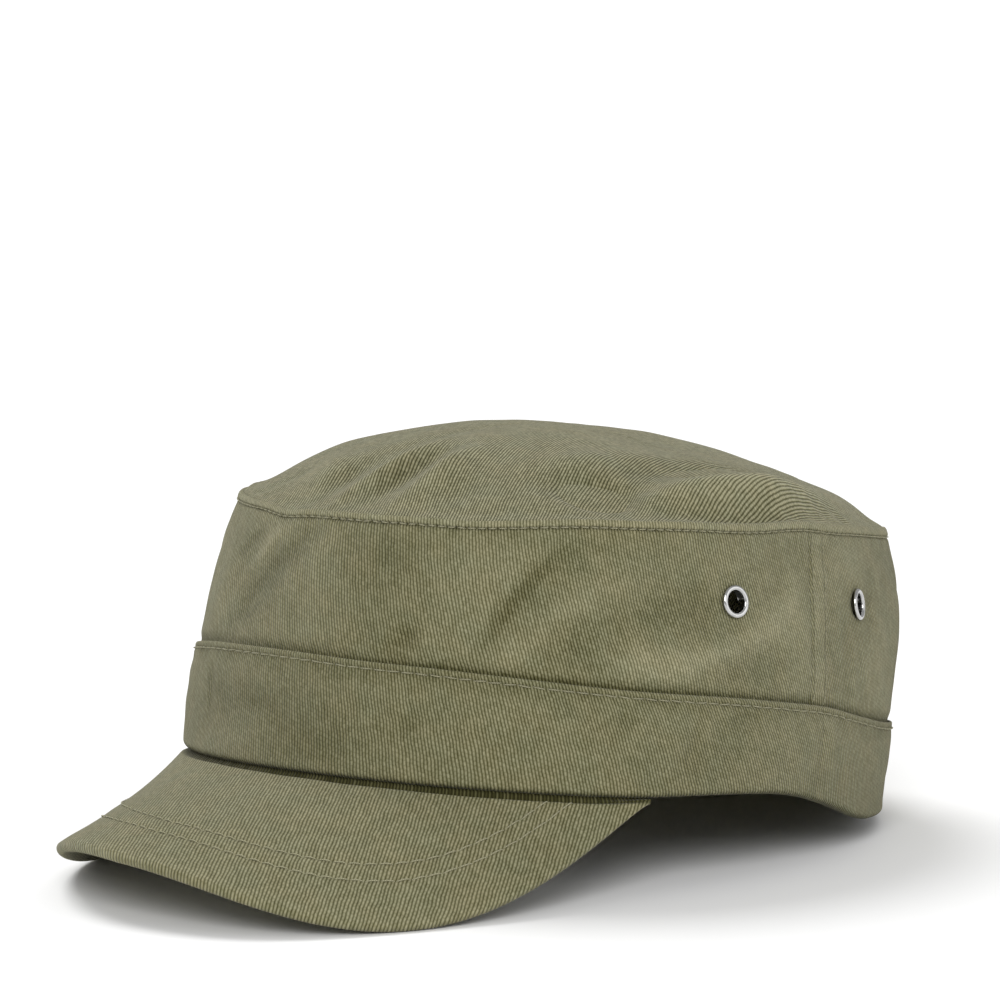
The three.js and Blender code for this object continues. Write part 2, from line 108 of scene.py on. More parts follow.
# Soft folds of the top panel: across in shares of HALF_WIDTH, along in shares of HALF_LENGTH,
# turn in degrees from the front-to-back line, long and wide in shares of HALF_LENGTH, high in
# shares of DOME_RISE
TOP_FOLDS = [
    (0.02, -0.68, 8, 0.2, 0.055, 0.07),
    (0.21, -0.67, -16, 0.2, 0.06, 0.08),
    (0.11, -0.72, -4, 0.18, 0.05, -0.06),
    (-0.12, -0.74, 14, 0.18, 0.06, -0.05),
    (0.68, -0.42, -30, 0.12, 0.09, -0.13),
    (0.72, 0.06, 0, 0.34, 0.11, 0.12),
    (0.4, 0.08, 0, 0.36, 0.16, -0.1),
    (-0.7, 0.12, 6, 0.32, 0.12, 0.09),
    (-0.6, -0.4, 34, 0.16, 0.09, 0.08),
    (0.1, 0.7, 78, 0.26, 0.1, 0.08),
    (0.62, 0.64, -42, 0.3, 0.13, 0.15),
]

# Drag folds of the side panels: round in degrees from the front, up in shares of the height
# from the band to the top seam, turn in degrees from upright, long and wide in shares of
# WALL_HEIGHT, high in shares of CLOTH
WALL_FOLDS = [
    (62, 0.66, 52, 0.42, 0.09, -0.55),
    (52, 0.38, 48, 0.34, 0.08, 0.5),
    (84, 0.3, 40, 0.26, 0.07, -0.45),
    (-13, 0.7, 24, 0.3, 0.08, -0.6),
    (-24, 0.5, 20, 0.3, 0.08, 0.5),
    (-66, 0.5, -46, 0.38, 0.1, -0.5),
    (128, 0.5, 20, 0.34, 0.1, 0.5),
    (168, 0.55, -30, 0.36, 0.1, -0.5),
    (-132, 0.5, -24, 0.34, 0.1, 0.5),
]

# Finish of the cloth, in millimetres. In a pair, something starts at one value and is full at the other.
COLUMN_STEP = 0.55
EDGE_STEP = 0.06
TUCK_ROWS = (TUCK_LENGTH, 3.0, 2.0, 1.2, 0.6)
SEAM_ROW = 2.35
SEAM_ROW_RISE = 0.5
SEAM_PITCH = 2.8
SEAM_DENT = 0.9
SEAM_THREAD = 0.28
BAND_ROW = 1.75
BAND_PITCH = 3.7
BAND_DENT = 0.4
BAND_THREAD = 0.25
SIDE_ROWS = (1.2, 6.4)
SIDE_PITCH = 2.8
SIDE_DENT = 0.12
SIDE_THREAD = 0.22
VISOR_ROWS = (14.9, 21.0)
VISOR_PITCH = 3.9
VISOR_DENT = 0.26
VISOR_THREAD = 0.2
DENT_WIDTH = 0.46
DENT_BETWEEN = 0.3
PUCKER_HEIGHT = 0.2
PUCKER_WIDTH = 2.6
PUCKER_BEAT = 0.35
PUCKER_PITCHES = 3.4
THREAD_RADIUS = 0.18
THREAD_TWIST = 9.0
STITCH_STATIONS = 9
STITCH_SIDES = 7
STITCH_ARCH = 1.5
STITCH_SUNK = 0.9
STITCH_LEAN = 0.09
STITCH_END = 0.72

WELT_CREST = 0.55
WELT_EDGE = 0.15
FOOT_PRESS = 0.55
FOOT_PLACE = 0.4
FOOT_WIDTH = 1.6
RIPPLE_START = 6
FOLD_START = 3
WALL_CREASE_GAIN = 0.78
LAP_PROUD = 0.24
LAP_RISE = 1.7
LAP_FALL = (5.6, 7.8)
LAP_START = 2
LAP_SETTLED = 0.06
LAP_SETTLES = (-0.7, 0)
LAP_PASSES = (0.5, 1.6)
SEAM_GROOVE = 0.1
SEAM_GROOVE_WIDTH = 1.2
SEAM_LEAN = 0.06
SEAM_LEAN_WIDTH = 22
SEAM_PLAY = GAP / 2
UNDERLAP = 3.0
BAND_UNDER = 0.7

HEM_ROLL = 2.0
HEM_ROLL_DEPTH = 1.9
HEM_ROWS = (0, 0.06, 0.16, 0.32, 0.55, 0.9, 1.3, 1.65, HEM_ROLL, 3.0, 4.0)
HEM_FOLD_START = 5
HEM_OPENING = 0.3
OPENING_RIGHT = 0.3
OPENING_TURN = (-40, 20)
OPENING_END = (58, 66)
BAND_EDGE_ROWS = (0.6, 0.42, 0.26, 0.13, 0.04, 0)
BAND_EDGE_DEPTH = 0.5
BAND_EDGE_ROUND = 0.7
BAND_EDGE_SINK = 0.45
BAND_EDGE_WIDTH = 9
BAND_FOLD_START = (2, 6)
BAND_LAP = 0.1
BAND_LAP_RISE = 1.5
BAND_LAP_FALL = (4, 9)

TOP_COLUMNS = 640
TOP_FOLD_START = 2
TOP_RIPPLE_START = 10
GATHER_STRETCH = 0.4
GATHER_WIDTH = 7
RIM_RISE = 0.7
RIM_RISE_WIDTH = 2.5
RIM_SPREAD = 1.3
RIM_SPREAD_WIDTH = 2.0

VISOR_COLUMNS = 460
VISOR_RIPPLE_START = 4
VISOR_SWELLS = ((17.95, 2.2, 0.12), (5, 3.0, 0.1))
GUTTER_LEFT = 0.9
GUTTER_RIGHT = 1.9
GUTTER_SIDES = (-0.6, 0.5)
GUTTER_WIDTH = 1.2

EYELET_SIDES = 96
EYELET_RISE = 0.75
REAR_EYELET_TILT = 9.0

# Uneven waves of the cloth: a height, a length and a seed
WALL_RIPPLES = ((0.3, 34, 11), (0.09, 9, 12))
BAND_RIPPLES = ((0.26, 38, 23), (0.08, 8, 24))
TOP_RIPPLES = ((0.35, 42, 31), (0.08, 11, 32))
VISOR_RIPPLES = ((0.08, 30, 41),)
GATHERS = ((0.35, 9, 33),)
RIPPLE_WAVES = 9
RIPPLE_LENGTHS = (0.7, 1.5)
RIPPLE_PEAK = 1.6
CORNER_CUT = 0.25
CREASE_END = 0.25

# Cloth tone: high places lighter and low ones darker, part wear and part painted light and shade; painted
# shade in hidden places
WALL_WEAR_AND_SHADE = 0.9
FOLD_WEAR_AND_SHADE = 0.11
RIPPLE_WEAR_AND_SHADE = 0.15
VISOR_EDGE_WEAR = 0.12
BAND_EDGE_WEAR = 0.5
BAND_EDGE_WEAR_WIDTH = 1.6
FOOT_SHADE = 0.8
FOOT_SHADE_PLACE = 0.3
FOOT_SHADE_WIDTH = 0.55
FOOT_SHADE_TURN = (-30, 50)
HEM_SHADE = 1.2
HEM_SHADE_WIDTH = 0.6
GUTTER_SHADE = 1.5

# Lie of the twill: a shift in millimetres, a lean at the front and its gain round the drum, and
# the least and most lean, in degrees
WALL_RIDGES = (0, 15.5, 0.055, 6, 24)
BAND_RIDGES = (0.31, 9, 0.24, -6, 27)
WEAVE_SHEAR = 0.2
VISOR_TWILL_TURN = radians(29)
DOME_STRETCH = 0.055
ARC_RADIUS = 230.0
ARC_CENTRE = (25 + ARC_RADIUS * cos(radians(26)), -65 + ARC_RADIUS * sin(radians(26)))

# Twill: noises with a scale, a detail and a roughness, and what each adds to the tone
TWILL_PITCH = 0.91
FLOAT_LENGTH = 1.25
FLOAT_OFFSET = 0.382
YARN_SHARE = 0.4
MEAN_HEIGHT = 0.56
WANDER = (0.22, 3.0, 0.5)
FIBRE = (1.3, 4.0, 0.7)
WASHED = (0.045, 3.0, 0.6)
RUBBED = (0.14, 3.0, 0.6)
TINT = (0.09, 2.0, 0.5)
UNEVEN_GAIN = 0.26
FIBRE_GAIN = 0.6
WASHED_GAIN = 0.09
RUBBED_GAIN = 0.1
WEAR_AND_SHADE_GAIN = 0.3
FIBRE_RELIEF = 0.35
TWILL_DEPTH = 0.24
# Colours along the tone, from the grooves' painted shade to the ridges' painted light
TWILL_TONES = [(0.0, (0.03, 0.028, 0.006)), (0.25, (0.088, 0.083, 0.032))]
TWILL_TONES += [(0.5, (0.16, 0.151, 0.082)), (1.0, (0.34, 0.32, 0.21))]
TWILL_TINTS = [(0.36, (0.975, 1.0, 0.97)), (0.64, (1.015, 1.0, 0.94))]
TWILL_FINISH = {"Roughness": 0.92, "Specular IOR Level": 0.2}
TWILL_SHEEN = {"Sheen Weight": 0.12, "Sheen Roughness": 0.45}

# Thread, nickel and floor
THREAD_TONES = [(0.0, (0.19, 0.18, 0.10)), (1.0, (0.38, 0.36, 0.23))]
THREAD_DEPTH = 0.05
SCUFFS = (900.0, 4.0, 0.7)
NICKEL_ROUGHNESS = (0.14, 0.1)
NICKEL_TONES = [(0.3, (0.42, 0.42, 0.415)), (0.7, (0.56, 0.56, 0.55))]
NICKEL_DEPTH = 0.03
NICKEL_BUMP = 0.1
FLOOR_GRAIN = (6.0, 3.0, 0.5)
FLOOR_TONES = [(0.0, (0.9, 0.9, 0.9)), (1.0, (0.93, 0.93, 0.93))]
FLOOR_SIZE = 60
FLOOR_DROP = -0.0002

# Wide soft discs of light: azimuth, elevation and width in degrees, and a strength
SUNS = (("top", -105, 56, 28, 1.7), ("key", 38, 32, 30, 1.55), ("fill", 112, 14, 50, 0.65))

# Small waves of the top seam and of the band's edge, each at a place in degrees round from the
# front, with its half width in degrees and its height in millimetres
SEAM_WAVES = [(-9.5, 5, -0.9), (30, 8, -0.5), (50, 8, 0.4), (80, 8, -0.4), (93, 6, 0.7)]
SEAM_WAVES += [(-62, 9, -0.4), (-98, 8, -0.6), (140, 12, 0.5), (178, 10, -0.6), (-145, 11, 0.6)]
BAND_WAVES = [(-44, 16, -1.1), (14, 9, -0.3), (97, 6, 0.4), (122, 9, -0.4), (-90, 9, 0.5), (165, 14, 0.4)]

# Folds that the cap has taken on, in millimetres: a half width, a height out of the cloth and the
# places of a path. On the wall and the band a place is a length round from the front and a height,
# on the top it is in plan.
WALL_CREASES = [
    (2.3, -1.0, 81, 65.2, 74, 64.5, 68.7, 60.5, 61.7, 52.5, 56.4, 44.5, 51.8, 36),
    (4.2, 0.75, 94, 60, 83, 55, 72.6, 49, 65.6, 41.5, 59, 35),
    (6.0, -0.7, 84, 45.5, 101, 49, 118, 54),
    (3.2, 0.9, 87, 36.5, 101, 36.5, 116.3, 39.5, 130.5, 44, 145, 52, 150.4, 58),
    (2.5, -0.4, 134, 54, 143, 58.5),
    (4.0, -0.35, 135, 35.5, 147, 42),
    (4.0, -1.3, 0, 66, -4, 61, -12, 54, -21, 45, -28, 36),
    (2.2, 0.7, -8, 69, -14, 64, -21, 57, -29.3, 49),
    (2.0, -0.45, -22, 64, -27, 60, -36, 54),
    (2.3, -0.6, 38.3, 44, 33, 39, 27, 34.5),
    (3.0, -0.3, 22, 60, 29, 60.5),
    (2.2, 0.3, 168, 66, 168, 31),
    (3.0, -0.5, 189, 65, 187, 55, 185, 44),
    (1.5, 0.3, 176, 44, 177, 27),
    (3.0, -0.8, -58, 62, -66, 52, -72, 40),
    (4.0, 0.6, -66, 64, -78, 54, -86, 42),
    (3.0, -0.8, -104, 66, -112, 54, -128, 42),
    (4.0, 0.6, -120, 60, -136, 50),
    (3.0, -0.8, 215, 66, 224, 54, 238, 42),
    (4.0, 0.7, 240, 64, 258, 48),
    (3.2, -0.7, 292, 66, 290, 50, 296, 36),
    (3.0, -0.8, 330, 64, 322, 50, 312, 38),
    (4.0, 0.6, 348, 60, 336, 46),
    (3.0, -0.6, 376, 66, 368, 48),
]
BAND_CREASES = [
    (5.5, -0.5, -26, 18, -10, 19, 3, 18.5),
    (3.5, -0.35, 42, 23.5, 36, 17.2, 31.5, 12.5),
    (4.0, -0.4, 95, 24.5, 85, 17.8),
    (2.2, -0.4, 113, 24, 109.4, 13),
    (3.0, 0.35, 119, 24.5, 110, 19, 101.7, 13.2),
    (2.4, 0.3, 163, 24, 166, 6),
    (2.0, -0.45, -33, 28, -31.5, 12),
    (8.0, -1.1, -72, 33, -73, 16),
    (4.0, -0.5, -120, 22, -132, 12),
    (4.0, -0.5, 230, 22, 244, 8),
    (4.5, -0.5, 300, 20, 292, 6),
    (4.0, 0.4, 352, 20, 366, 8),
]
TOP_CREASES = [
    (5.0, 4.3, 57, -44, 61, -35, 64, -26, 65.5, -15, 66.5, -5, 67, 6, 66, 22, 62, 38),
    (2.6, -1.8, 69, -36, 72, -26, 74, -16, 75.5, -5, 76.5, 6, 76, 18),
    (6.0, -3.0, 44, -34, 50, -26, 53, -14, 55, 0, 55, 14, 52, 28),
    (6.5, -5.2, 42, -53, 50, -47, 55, -41, 57, -35),
    (6.5, 1.6, 38, -46, 40, -36, 42, -28),
    (2.8, 1.7, -1, -87, -2, -81, 1.4, -72, 0, -57.6, -1.2, -45),
    (3.2, 1.9, 16.4, -82.3, 17.2, -77, 16.8, -68, 12.9, -53.7),
    (4.2, 1.3, -11, -86, -17.2, -74.3, -30.8, -55),
    (3.2, -1.9, 7, -81, 6.4, -67.8, 5.8, -52.3),
    (3.4, -1.0, -9.9, -78.2, -13.8, -59.8),
    (5.0, -0.9, -31.8, -74, -32.8, -60.7),
    (5.0, -1.2, 26, -78, 28, -64),
    (6.0, 2.5, -74, -42, -63, -62, -50, -74, -38, -82),
    (1.7, -3.0, 78.2, 0, 77.6, 14, 75.7, 27, 71.6, 42, 65, 55),
    (6.0, 2.0, -70, -20, -66, 0, -66, 22),
    (7.0, -1.6, -54, -22, -52, 2, -54, 26),
    (5.0, 1.6, -40, 60, -22, 74, -4, 80),
    (3.4, 1.5, 22, 84, 26, 66, 22, 50),
    (3.6, -1.3, 34, 78, 36, 60),
]

# Camera, from a fit of the cap's outlines and seams in the photo
PHOTO_SIDE = 1000
CAMERA_AZIMUTH = 42.07
CAMERA_ELEVATION = 6.572
CAMERA_ROLL = -0.379
CAMERA_DISTANCE = 1296.4
CAMERA_FOCUS = 4875.4
CAMERA_AIM = (0.0, 8.193, 91.822)
SENSOR = 36.0


def ease(value, low, high):
    """Smooth rise from 0 to 1 between two values."""
    t = np.clip((value - low) / (high - low), 0, 1)
    return t * t * (3 - 2 * t)


def bell(length, width, power=2):
    """1 at no length, and next to nothing past two widths."""
    return np.exp(-((length / width) ** power))


def signed_power(value, power):
    return np.sign(value) * np.abs(value) ** power


def steps(low, high, count):
    return np.linspace(low, high, count)


def between(low, high, count):
    return [low + (high - low) * share for share in steps(0, 1, count)[1:-1]]


def unit(vectors):
    return vectors / np.linalg.norm(vectors, axis=-1, keepdims=True)


def run_lengths(points):
    return np.concatenate([[0], np.cumsum(np.linalg.norm(np.diff(points, axis=0), axis=1))])


def lengths_from_zero(places, points):
    """Length along a line of points, counted from the one at place 0."""
    lengths = run_lengths(points)
    return lengths - np.interp(0, places, lengths)


def through(places, values, at):
    """One smooth curve through a few values at their places."""
    total = 0
    for place, value in zip(places, values):
        for other in places:
            if other != place:
                value = value * (at - other) / (place - other)
        total += value
    return total


def bumps(folds, across, along):
    """Sum of long soft bumps, each with a place, a turn, two lengths and a height."""
    total = 0
    for x, y, degrees, long, wide, high in folds:
        turn = radians(degrees)
        dx, dy = across - x, along - y
        lengthwise = (dx * sin(turn) + dy * cos(turn)) / long
        crosswise = (dx * cos(turn) - dy * sin(turn)) / wide
        total += high * np.exp(-(lengthwise**2) - crosswise**2)
    return total


def rounded_path(places):
    """A path through places with its corners cut off twice."""
    path = np.reshape(places, (-1, 2))
    for _ in range(2):
        cut = CORNER_CUT * np.diff(path, axis=0)
        corners = np.stack([path[:-1] + cut, path[1:] - cut], 1).reshape(-1, 2)
        path = np.concatenate([path[:1], corners, path[-1:]])
    return path


def creases(across, along, table):
    """Sum of soft folds that follow drawn paths and fade towards their ends."""
    total = 0
    for width, height, *places in table:
        path = rounded_path(places)
        starts = run_lengths(path)
        nearest, place = np.full(across.shape, np.inf), np.zeros(across.shape)
        for (ax, ay), (bx, by), start, size in zip(path[:-1], path[1:], starts, np.diff(starts)):
            dx, dy = bx - ax, by - ay
            share = np.clip(((across - ax) * dx + (along - ay) * dy) / size**2, 0, 1)
            gap = np.hypot(across - ax - share * dx, along - ay - share * dy)
            place = np.where(gap < nearest, start + share * size, place)
            nearest = np.minimum(nearest, gap)
        fade = CREASE_END + (1 - CREASE_END) * np.sin(pi * place / starts[-1])
        total += height * fade * bell(nearest, width)
    return total


def ripples(across, along, length, seed):
    """Small uneven waves of about one length, between -1 and 1, the same on every run."""
    rng = np.random.default_rng(seed)
    total = 0
    for _ in range(RIPPLE_WAVES):
        heading, shift = rng.uniform(0, pi), rng.uniform(0, 2 * pi)
        pace = 2 * pi / (length * rng.uniform(*RIPPLE_LENGTHS))
        total += np.sin(pace * (across * cos(heading) + along * sin(heading)) + shift)
    return total / sqrt(RIPPLE_WAVES) / RIPPLE_PEAK


def rippled(across, along, table):
    return sum(height * ripples(across, along, length, seed) for height, length, seed in table)


# Outline of the drum


def round_angle(angle):
    return np.arctan2(np.sin(angle), np.cos(angle))


def side_line(angle, rise, drop):
    degrees = np.abs(np.degrees(round_angle(angle)))
    return rise * ease(degrees, *SIDE_RISE) - (rise + drop) * ease(degrees, *BACK_DROP)


def waves(angle, table):
    total = 0
    for place, width, height in table:
        total += height * bell(np.degrees(round_angle(angle - radians(place))), width)
    return total


def hem_height(angle):
    return HEM_LIFT + side_line(angle, HEM_SIDE_RISE, HEM_BACK_DROP)


def hem_edge(angle):
    """Lower edge of the band's cloth, lifted a little off the visor."""
    degrees = np.degrees(angle)
    share = OPENING_RIGHT + (1 - OPENING_RIGHT) * ease(degrees, *OPENING_TURN)
    return hem_height(angle) + HEM_OPENING * (1 - ease(np.abs(degrees), *OPENING_END)) * share


def band_height(angle):
    level = BAND_HEIGHT + BAND_FRONT_RISE * np.cos(angle)
    return level + side_line(angle, BAND_SIDE_RISE, BAND_BACK_DROP) + waves(angle, BAND_WAVES)


def seam_height(angle):
    level = WALL_HEIGHT - SEAM_FRONT_DIP * np.cos(angle) - SEAM_SIDE_RISE * np.cos(2 * angle)
    return level + waves(angle, SEAM_WAVES)


def seam_row(angle):
    return SEAM_ROW - SEAM_ROW_RISE * np.cos(angle)


def plan_point(angle, height):
    share = np.maximum(height / WALL_HEIGHT, 0)
    width, front, back = (through(PLAN_HEIGHTS, row, share) for row in PLAN_SIZES)
    length = HALF_LENGTH * np.where(np.cos(angle) > 0, front, back)
    power = 2 / OVAL_POWER
    x = HALF_WIDTH * width * signed_power(np.sin(angle), power)
    return x, -length * signed_power(np.cos(angle), power)


# Length round the drum at half its height, from zero at the front
GIRTH_ANGLES = steps(-pi, 2 * pi, 5401)
GIRTH_LENGTHS = lengths_from_zero(GIRTH_ANGLES, np.stack(plan_point(GIRTH_ANGLES, WALL_HEIGHT / 2), -1))


def girth(angle):
    return np.interp(angle, GIRTH_ANGLES, GIRTH_LENGTHS)


def angle_at(length):
    return np.interp(length, GIRTH_LENGTHS, GIRTH_ANGLES)


WALL_SEAM = girth(radians(WALL_SEAM_ANGLE))
BAND_SEAM = girth(radians(BAND_SEAM_ANGLE))
WHOLE_GIRTH = girth(2 * pi)


def wall_fold_depth(angle, height):
    low = band_height(angle)
    span = seam_height(angle) - WELT_HEIGHT - low
    up = np.clip((height - low) / span, 0, 1)
    total = 0
    for place, share, turn, long, wide, high in WALL_FOLDS:
        sizes = (turn, long * WALL_HEIGHT, wide * WALL_HEIGHT, high * CLOTH)
        fold = (radians(place) * HALF_WIDTH, share * span, *sizes)
        total += bumps([fold], round_angle(angle) * HALF_WIDTH, up * span)
    return np.sin(pi * up) * total


def wall_point(angle, height, out):
    x, y = plan_point(angle, height)
    ahead, behind = plan_point(angle + NUDGE, height), plan_point(angle - NUDGE, height)
    dx, dy = ahead[0] - behind[0], ahead[1] - behind[1]
    push = (out + wall_fold_depth(angle, height)) / np.hypot(dx, dy)
    x, y = x + dy * push, y - dx * push
    return np.stack([x, y, height + 0 * x], -1)


def tuck(below):
    return TUCK_DEPTH * ease(below, 0, TUCK_LENGTH)


# Relief of the sewn cloth, in millimetres out of its face


def stitch_dent(length, across, pitch, depth):
    """Groove under a row of stitches, deepest at the needle holes."""
    holes = (0.5 + 0.5 * np.cos(2 * pi * length / pitch)) ** 2
    return -depth * (DENT_BETWEEN + (1 - DENT_BETWEEN) * holes) * bell(across, DENT_WIDTH)


def sewn(length, across, pitch, depth, seed, beside=1):
    """Groove under a row of stitches and uneven swelling of the cloth beside it."""
    swell = PUCKER_BEAT * np.cos(2 * pi * length / pitch)
    swell += ripples(length, across, pitch * PUCKER_PITCHES, seed)
    pucker = PUCKER_HEIGHT * swell * np.exp(-np.abs(across) / PUCKER_WIDTH)
    return stitch_dent(length, across, pitch, depth) + pucker * beside


def rounded_step(length, width):
    """Rise from 0 to 1 over a width, round like a folded edge."""
    return np.sqrt(np.clip(1 - (1 - np.clip(length / width, 0, 1)) ** 2, 0, 1))


def from_seam(length, seam, height=None):
    """Length from the nearer side seam, positive towards the back. The wall's seams lean."""
    lean = 0 if height is None else SEAM_LEAN * (WALL_HEIGHT - height)
    return np.minimum(np.abs(length), WHOLE_GIRTH - np.abs(length)) - seam + lean


def leaned(length, height):
    """Lengths of a wall panel's columns, drawn forward with the leaning side seams."""
    near = bell(from_seam(length, WALL_SEAM), SEAM_LEAN_WIDTH)
    forward = np.where((length > 0) & (length < WHOLE_GIRTH / 2), -1, 1)
    return length + forward * near * SEAM_LEAN * (WALL_HEIGHT - height)


def wall_relief(length, angle, height):
    above = height - band_height(angle)
    down = seam_height(angle) - height
    row, under_welt = seam_row(angle), down - WELT_HEIGHT
    across = (down - 0.5 * row) / (0.5 * row + WELT_EDGE)
    relief = WELT_CREST * np.clip(1 - across**4, 0, 1)
    relief += sewn(length, down - row, SEAM_PITCH, SEAM_DENT, 3, down > row)
    relief -= FOOT_PRESS * bell(above - FOOT_PLACE, FOOT_WIDTH)
    soft = rippled(length, height, WALL_RIPPLES)
    soft = soft * ease(under_welt, 0, RIPPLE_START) * ease(above, 0, RIPPLE_START)
    folded = WALL_CREASE_GAIN * creases(length, height, WALL_CREASES)
    soft = soft + folded * ease(under_welt, 0, FOLD_START) * ease(above, 0, FOLD_START)
    back = from_seam(length, WALL_SEAM, height)
    lap = LAP_PROUD * ease(back, 0, LAP_RISE) * (1 - ease(back, *LAP_FALL))
    for side_row in SIDE_ROWS:
        lap += sewn(height, back - side_row, SIDE_PITCH, SIDE_DENT, 5)
    lap = lap * (back > 0) * ease(under_welt, 0, LAP_START)
    lap -= SEAM_GROOVE * bell(back, SEAM_GROOVE_WIDTH) * ease(under_welt, 0, FOLD_START)
    return relief + soft + lap


def band_relief(length, angle, height):
    down = band_height(angle) - height
    up = height - hem_edge(angle)
    hem = HEM_ROLL_DEPTH * (1 - rounded_step(up, HEM_ROLL))
    edge = BAND_EDGE_DEPTH * (1 - rounded_step(down, BAND_EDGE_ROUND))
    relief = sewn(length, down - BAND_ROW, BAND_PITCH, BAND_DENT, 21, down > BAND_ROW)
    relief -= BAND_EDGE_SINK * (1 - ease(down, 0, BAND_EDGE_WIDTH))
    soft = rippled(length, height, BAND_RIPPLES) + creases(length, height, BAND_CREASES)
    soft = soft * ease(up, 0, HEM_FOLD_START) * ease(down, *BAND_FOLD_START)
    back = from_seam(length, BAND_SEAM)
    lap = BAND_LAP * ease(back, 0, BAND_LAP_RISE) * (1 - ease(back, *BAND_LAP_FALL))
    return relief + soft + lap * (back > 0) - hem - edge


def sunk(back, depth):
    """Depth by which a front piece passes under the back piece's lap."""
    settled = LAP_SETTLED * ease(back, *LAP_SETTLES)
    return -np.sign(depth) * settled - depth * ease(back, *LAP_PASSES)


# Meshes from grids of points


def lay_down(points):
    """Level millimetres to metres on the surface, with the cloth pressed flat where it rests."""
    x, y, z = np.moveaxis(points, -1, 0)
    laid = np.stack([x, y * cos(LEAN) + z * sin(LEAN), z * cos(LEAN) - y * sin(LEAN)], -1) + SEAT
    laid[..., 2] = np.maximum(laid[..., 2], 0)
    return laid * MM


def link(made):
    bpy.context.scene.collection.objects.link(made)
    return made


def mesh_object(name, points, quads, loops, material, weave=None, wear_and_shade=None):
    """A smooth object from points in metres, an array of quads and a list of longer loops."""
    mesh = bpy.data.meshes.new(name)
    mesh.vertices.add(points.size // 3)
    mesh.vertices.foreach_set("co", points.astype(np.float32).ravel())
    sizes = np.array([4] * len(quads) + [len(loop) for loop in loops], np.int32)
    corners = np.concatenate([quads.ravel(), *loops]).astype(np.int32)
    mesh.loops.add(len(corners))
    mesh.loops.foreach_set("vertex_index", corners)
    mesh.polygons.add(len(sizes))
    mesh.polygons.foreach_set("loop_start", (np.cumsum(sizes) - sizes).astype(np.int32))
    mesh.polygons.foreach_set("loop_total", sizes)
    mesh.polygons.foreach_set("use_smooth", np.ones(len(sizes), bool))
    if weave is not None:
        layer = mesh.uv_layers.new(name="weave")
        layer.data.foreach_set("uv", weave.reshape(-1, 2)[corners].astype(np.float32).ravel())
    # Per-point tone for the cloth's colour: part wear, part painted light and painted shade
    if wear_and_shade is not None:
        attribute = mesh.attributes.new("wear_and_shade", "FLOAT", "POINT")
        attribute.data.foreach_set("value", wear_and_shade.astype(np.float32).ravel())
    mesh.update(calc_edges=True)
    mesh.validate()
    mesh.materials.append(material)
    return link(bpy.data.objects.new(name, mesh))


def numbered(shape, start=0):
    return start + np.arange(np.prod(shape)).reshape(shape)


def looped(index, axis):
    return np.concatenate([index, index.take([0], axis)], axis)


def grid_quads(index, flip=False):
    """Quads between the rows and columns of a grid, its last two axes."""
    a, b = index[..., :-1, :-1], index[..., :-1, 1:]
    c, d = index[..., 1:, 1:], index[..., 1:, :-1]
    order = (a, d, c, b) if flip else (a, b, c, d)
    return np.stack(order, -1).reshape(-1, 4)


def cloth_slab(name, outer, inner, weave, wear_and_shade, material, ring=False):
    """A closed piece of cloth with an outer and an inner grid of points, and a weave place for
    each. A ring's columns go all the way round."""
    front = numbered(outer.shape[:2])
    back = numbered(inner.shape[:2], front.size)
    if ring:
        loops = [front[-1], back[-1, ::-1]]
        front, back = looped(front, 1), looped(back, 1)
    else:
        loops = [[*back[::-1, 0], *front[:, 0]][::-1], [*front[::-1, -1], *back[:, -1]][::-1]]
    quads = [grid_quads(front), grid_quads(back, flip=True), grid_quads(np.stack([back[0], front[0]]))]
    if not ring:
        quads.append(grid_quads(np.stack([front[-1], back[-1]])))
    points = np.concatenate([outer.reshape(-1, 3), inner.reshape(-1, 3)])
    places = np.concatenate([face.reshape(-1, 2) for face in weave])
    worn_and_shaded = np.concatenate([wear_and_shade.ravel(), np.zeros(inner.shape[0] * inner.shape[1])])
    return mesh_object(name, lay_down(points), np.concatenate(quads), loops, material, places, worn_and_shaded)


# Materials


def node_tree(name):
    material = bpy.data.materials.new(name)
    material.use_nodes = True
    tree = material.node_tree
    return material, tree, tree.nodes["Principled BSDF"]


def set_inputs(node, values):
    for socket, value in values.items():
        node.inputs[socket].default_value = value


def math_node(tree, operation, *values):
    node = tree.nodes.new("ShaderNodeMath")
    node.operation = operation
    for socket, value in zip(node.inputs, values):
        if isinstance(value, (int, float)):
            socket.default_value = value
        else:
            tree.links.new(value, socket)
    return node.outputs[0]


def noise(tree, place, scale, detail, roughness):
    node = tree.nodes.new("ShaderNodeTexNoise")
    set_inputs(node, {"Scale": scale, "Detail": detail, "Roughness": roughness})
    tree.links.new(place, node.inputs["Vector"])
    return node.outputs["Fac"]


def ramp(tree, factor, stops):
    node = tree.nodes.new("ShaderNodeValToRGB")
    while len(node.color_ramp.elements) < len(stops):
        node.color_ramp.elements.new(0.5)
    for element, (place, colour) in zip(node.color_ramp.elements, stops):
        element.position = place
        element.color = (*colour, 1)
    tree.links.new(factor, node.inputs[0])
    return node.outputs[0]


def bumped(tree, shader, height, distance, strength=1.0):
    node = tree.nodes.new("ShaderNodeBump")
    set_inputs(node, {"Strength": strength, "Distance": distance * MM})
    tree.links.new(height, node.inputs["Height"])
    tree.links.new(node.outputs[0], shader.inputs["Normal"])


def weave_place(tree):
    """The weave map in millimetres, and its parts across and along the ridges."""
    place = tree.nodes.new("ShaderNodeUVMap")
    place.uv_map = "weave"
    split = tree.nodes.new("ShaderNodeSeparateXYZ")
    tree.links.new(place.outputs[0], split.inputs[0])
    return place.outputs[0], split.outputs["X"], split.outputs["Y"]


def object_place(tree):
    return tree.nodes.new("ShaderNodeTexCoord").outputs["Object"]


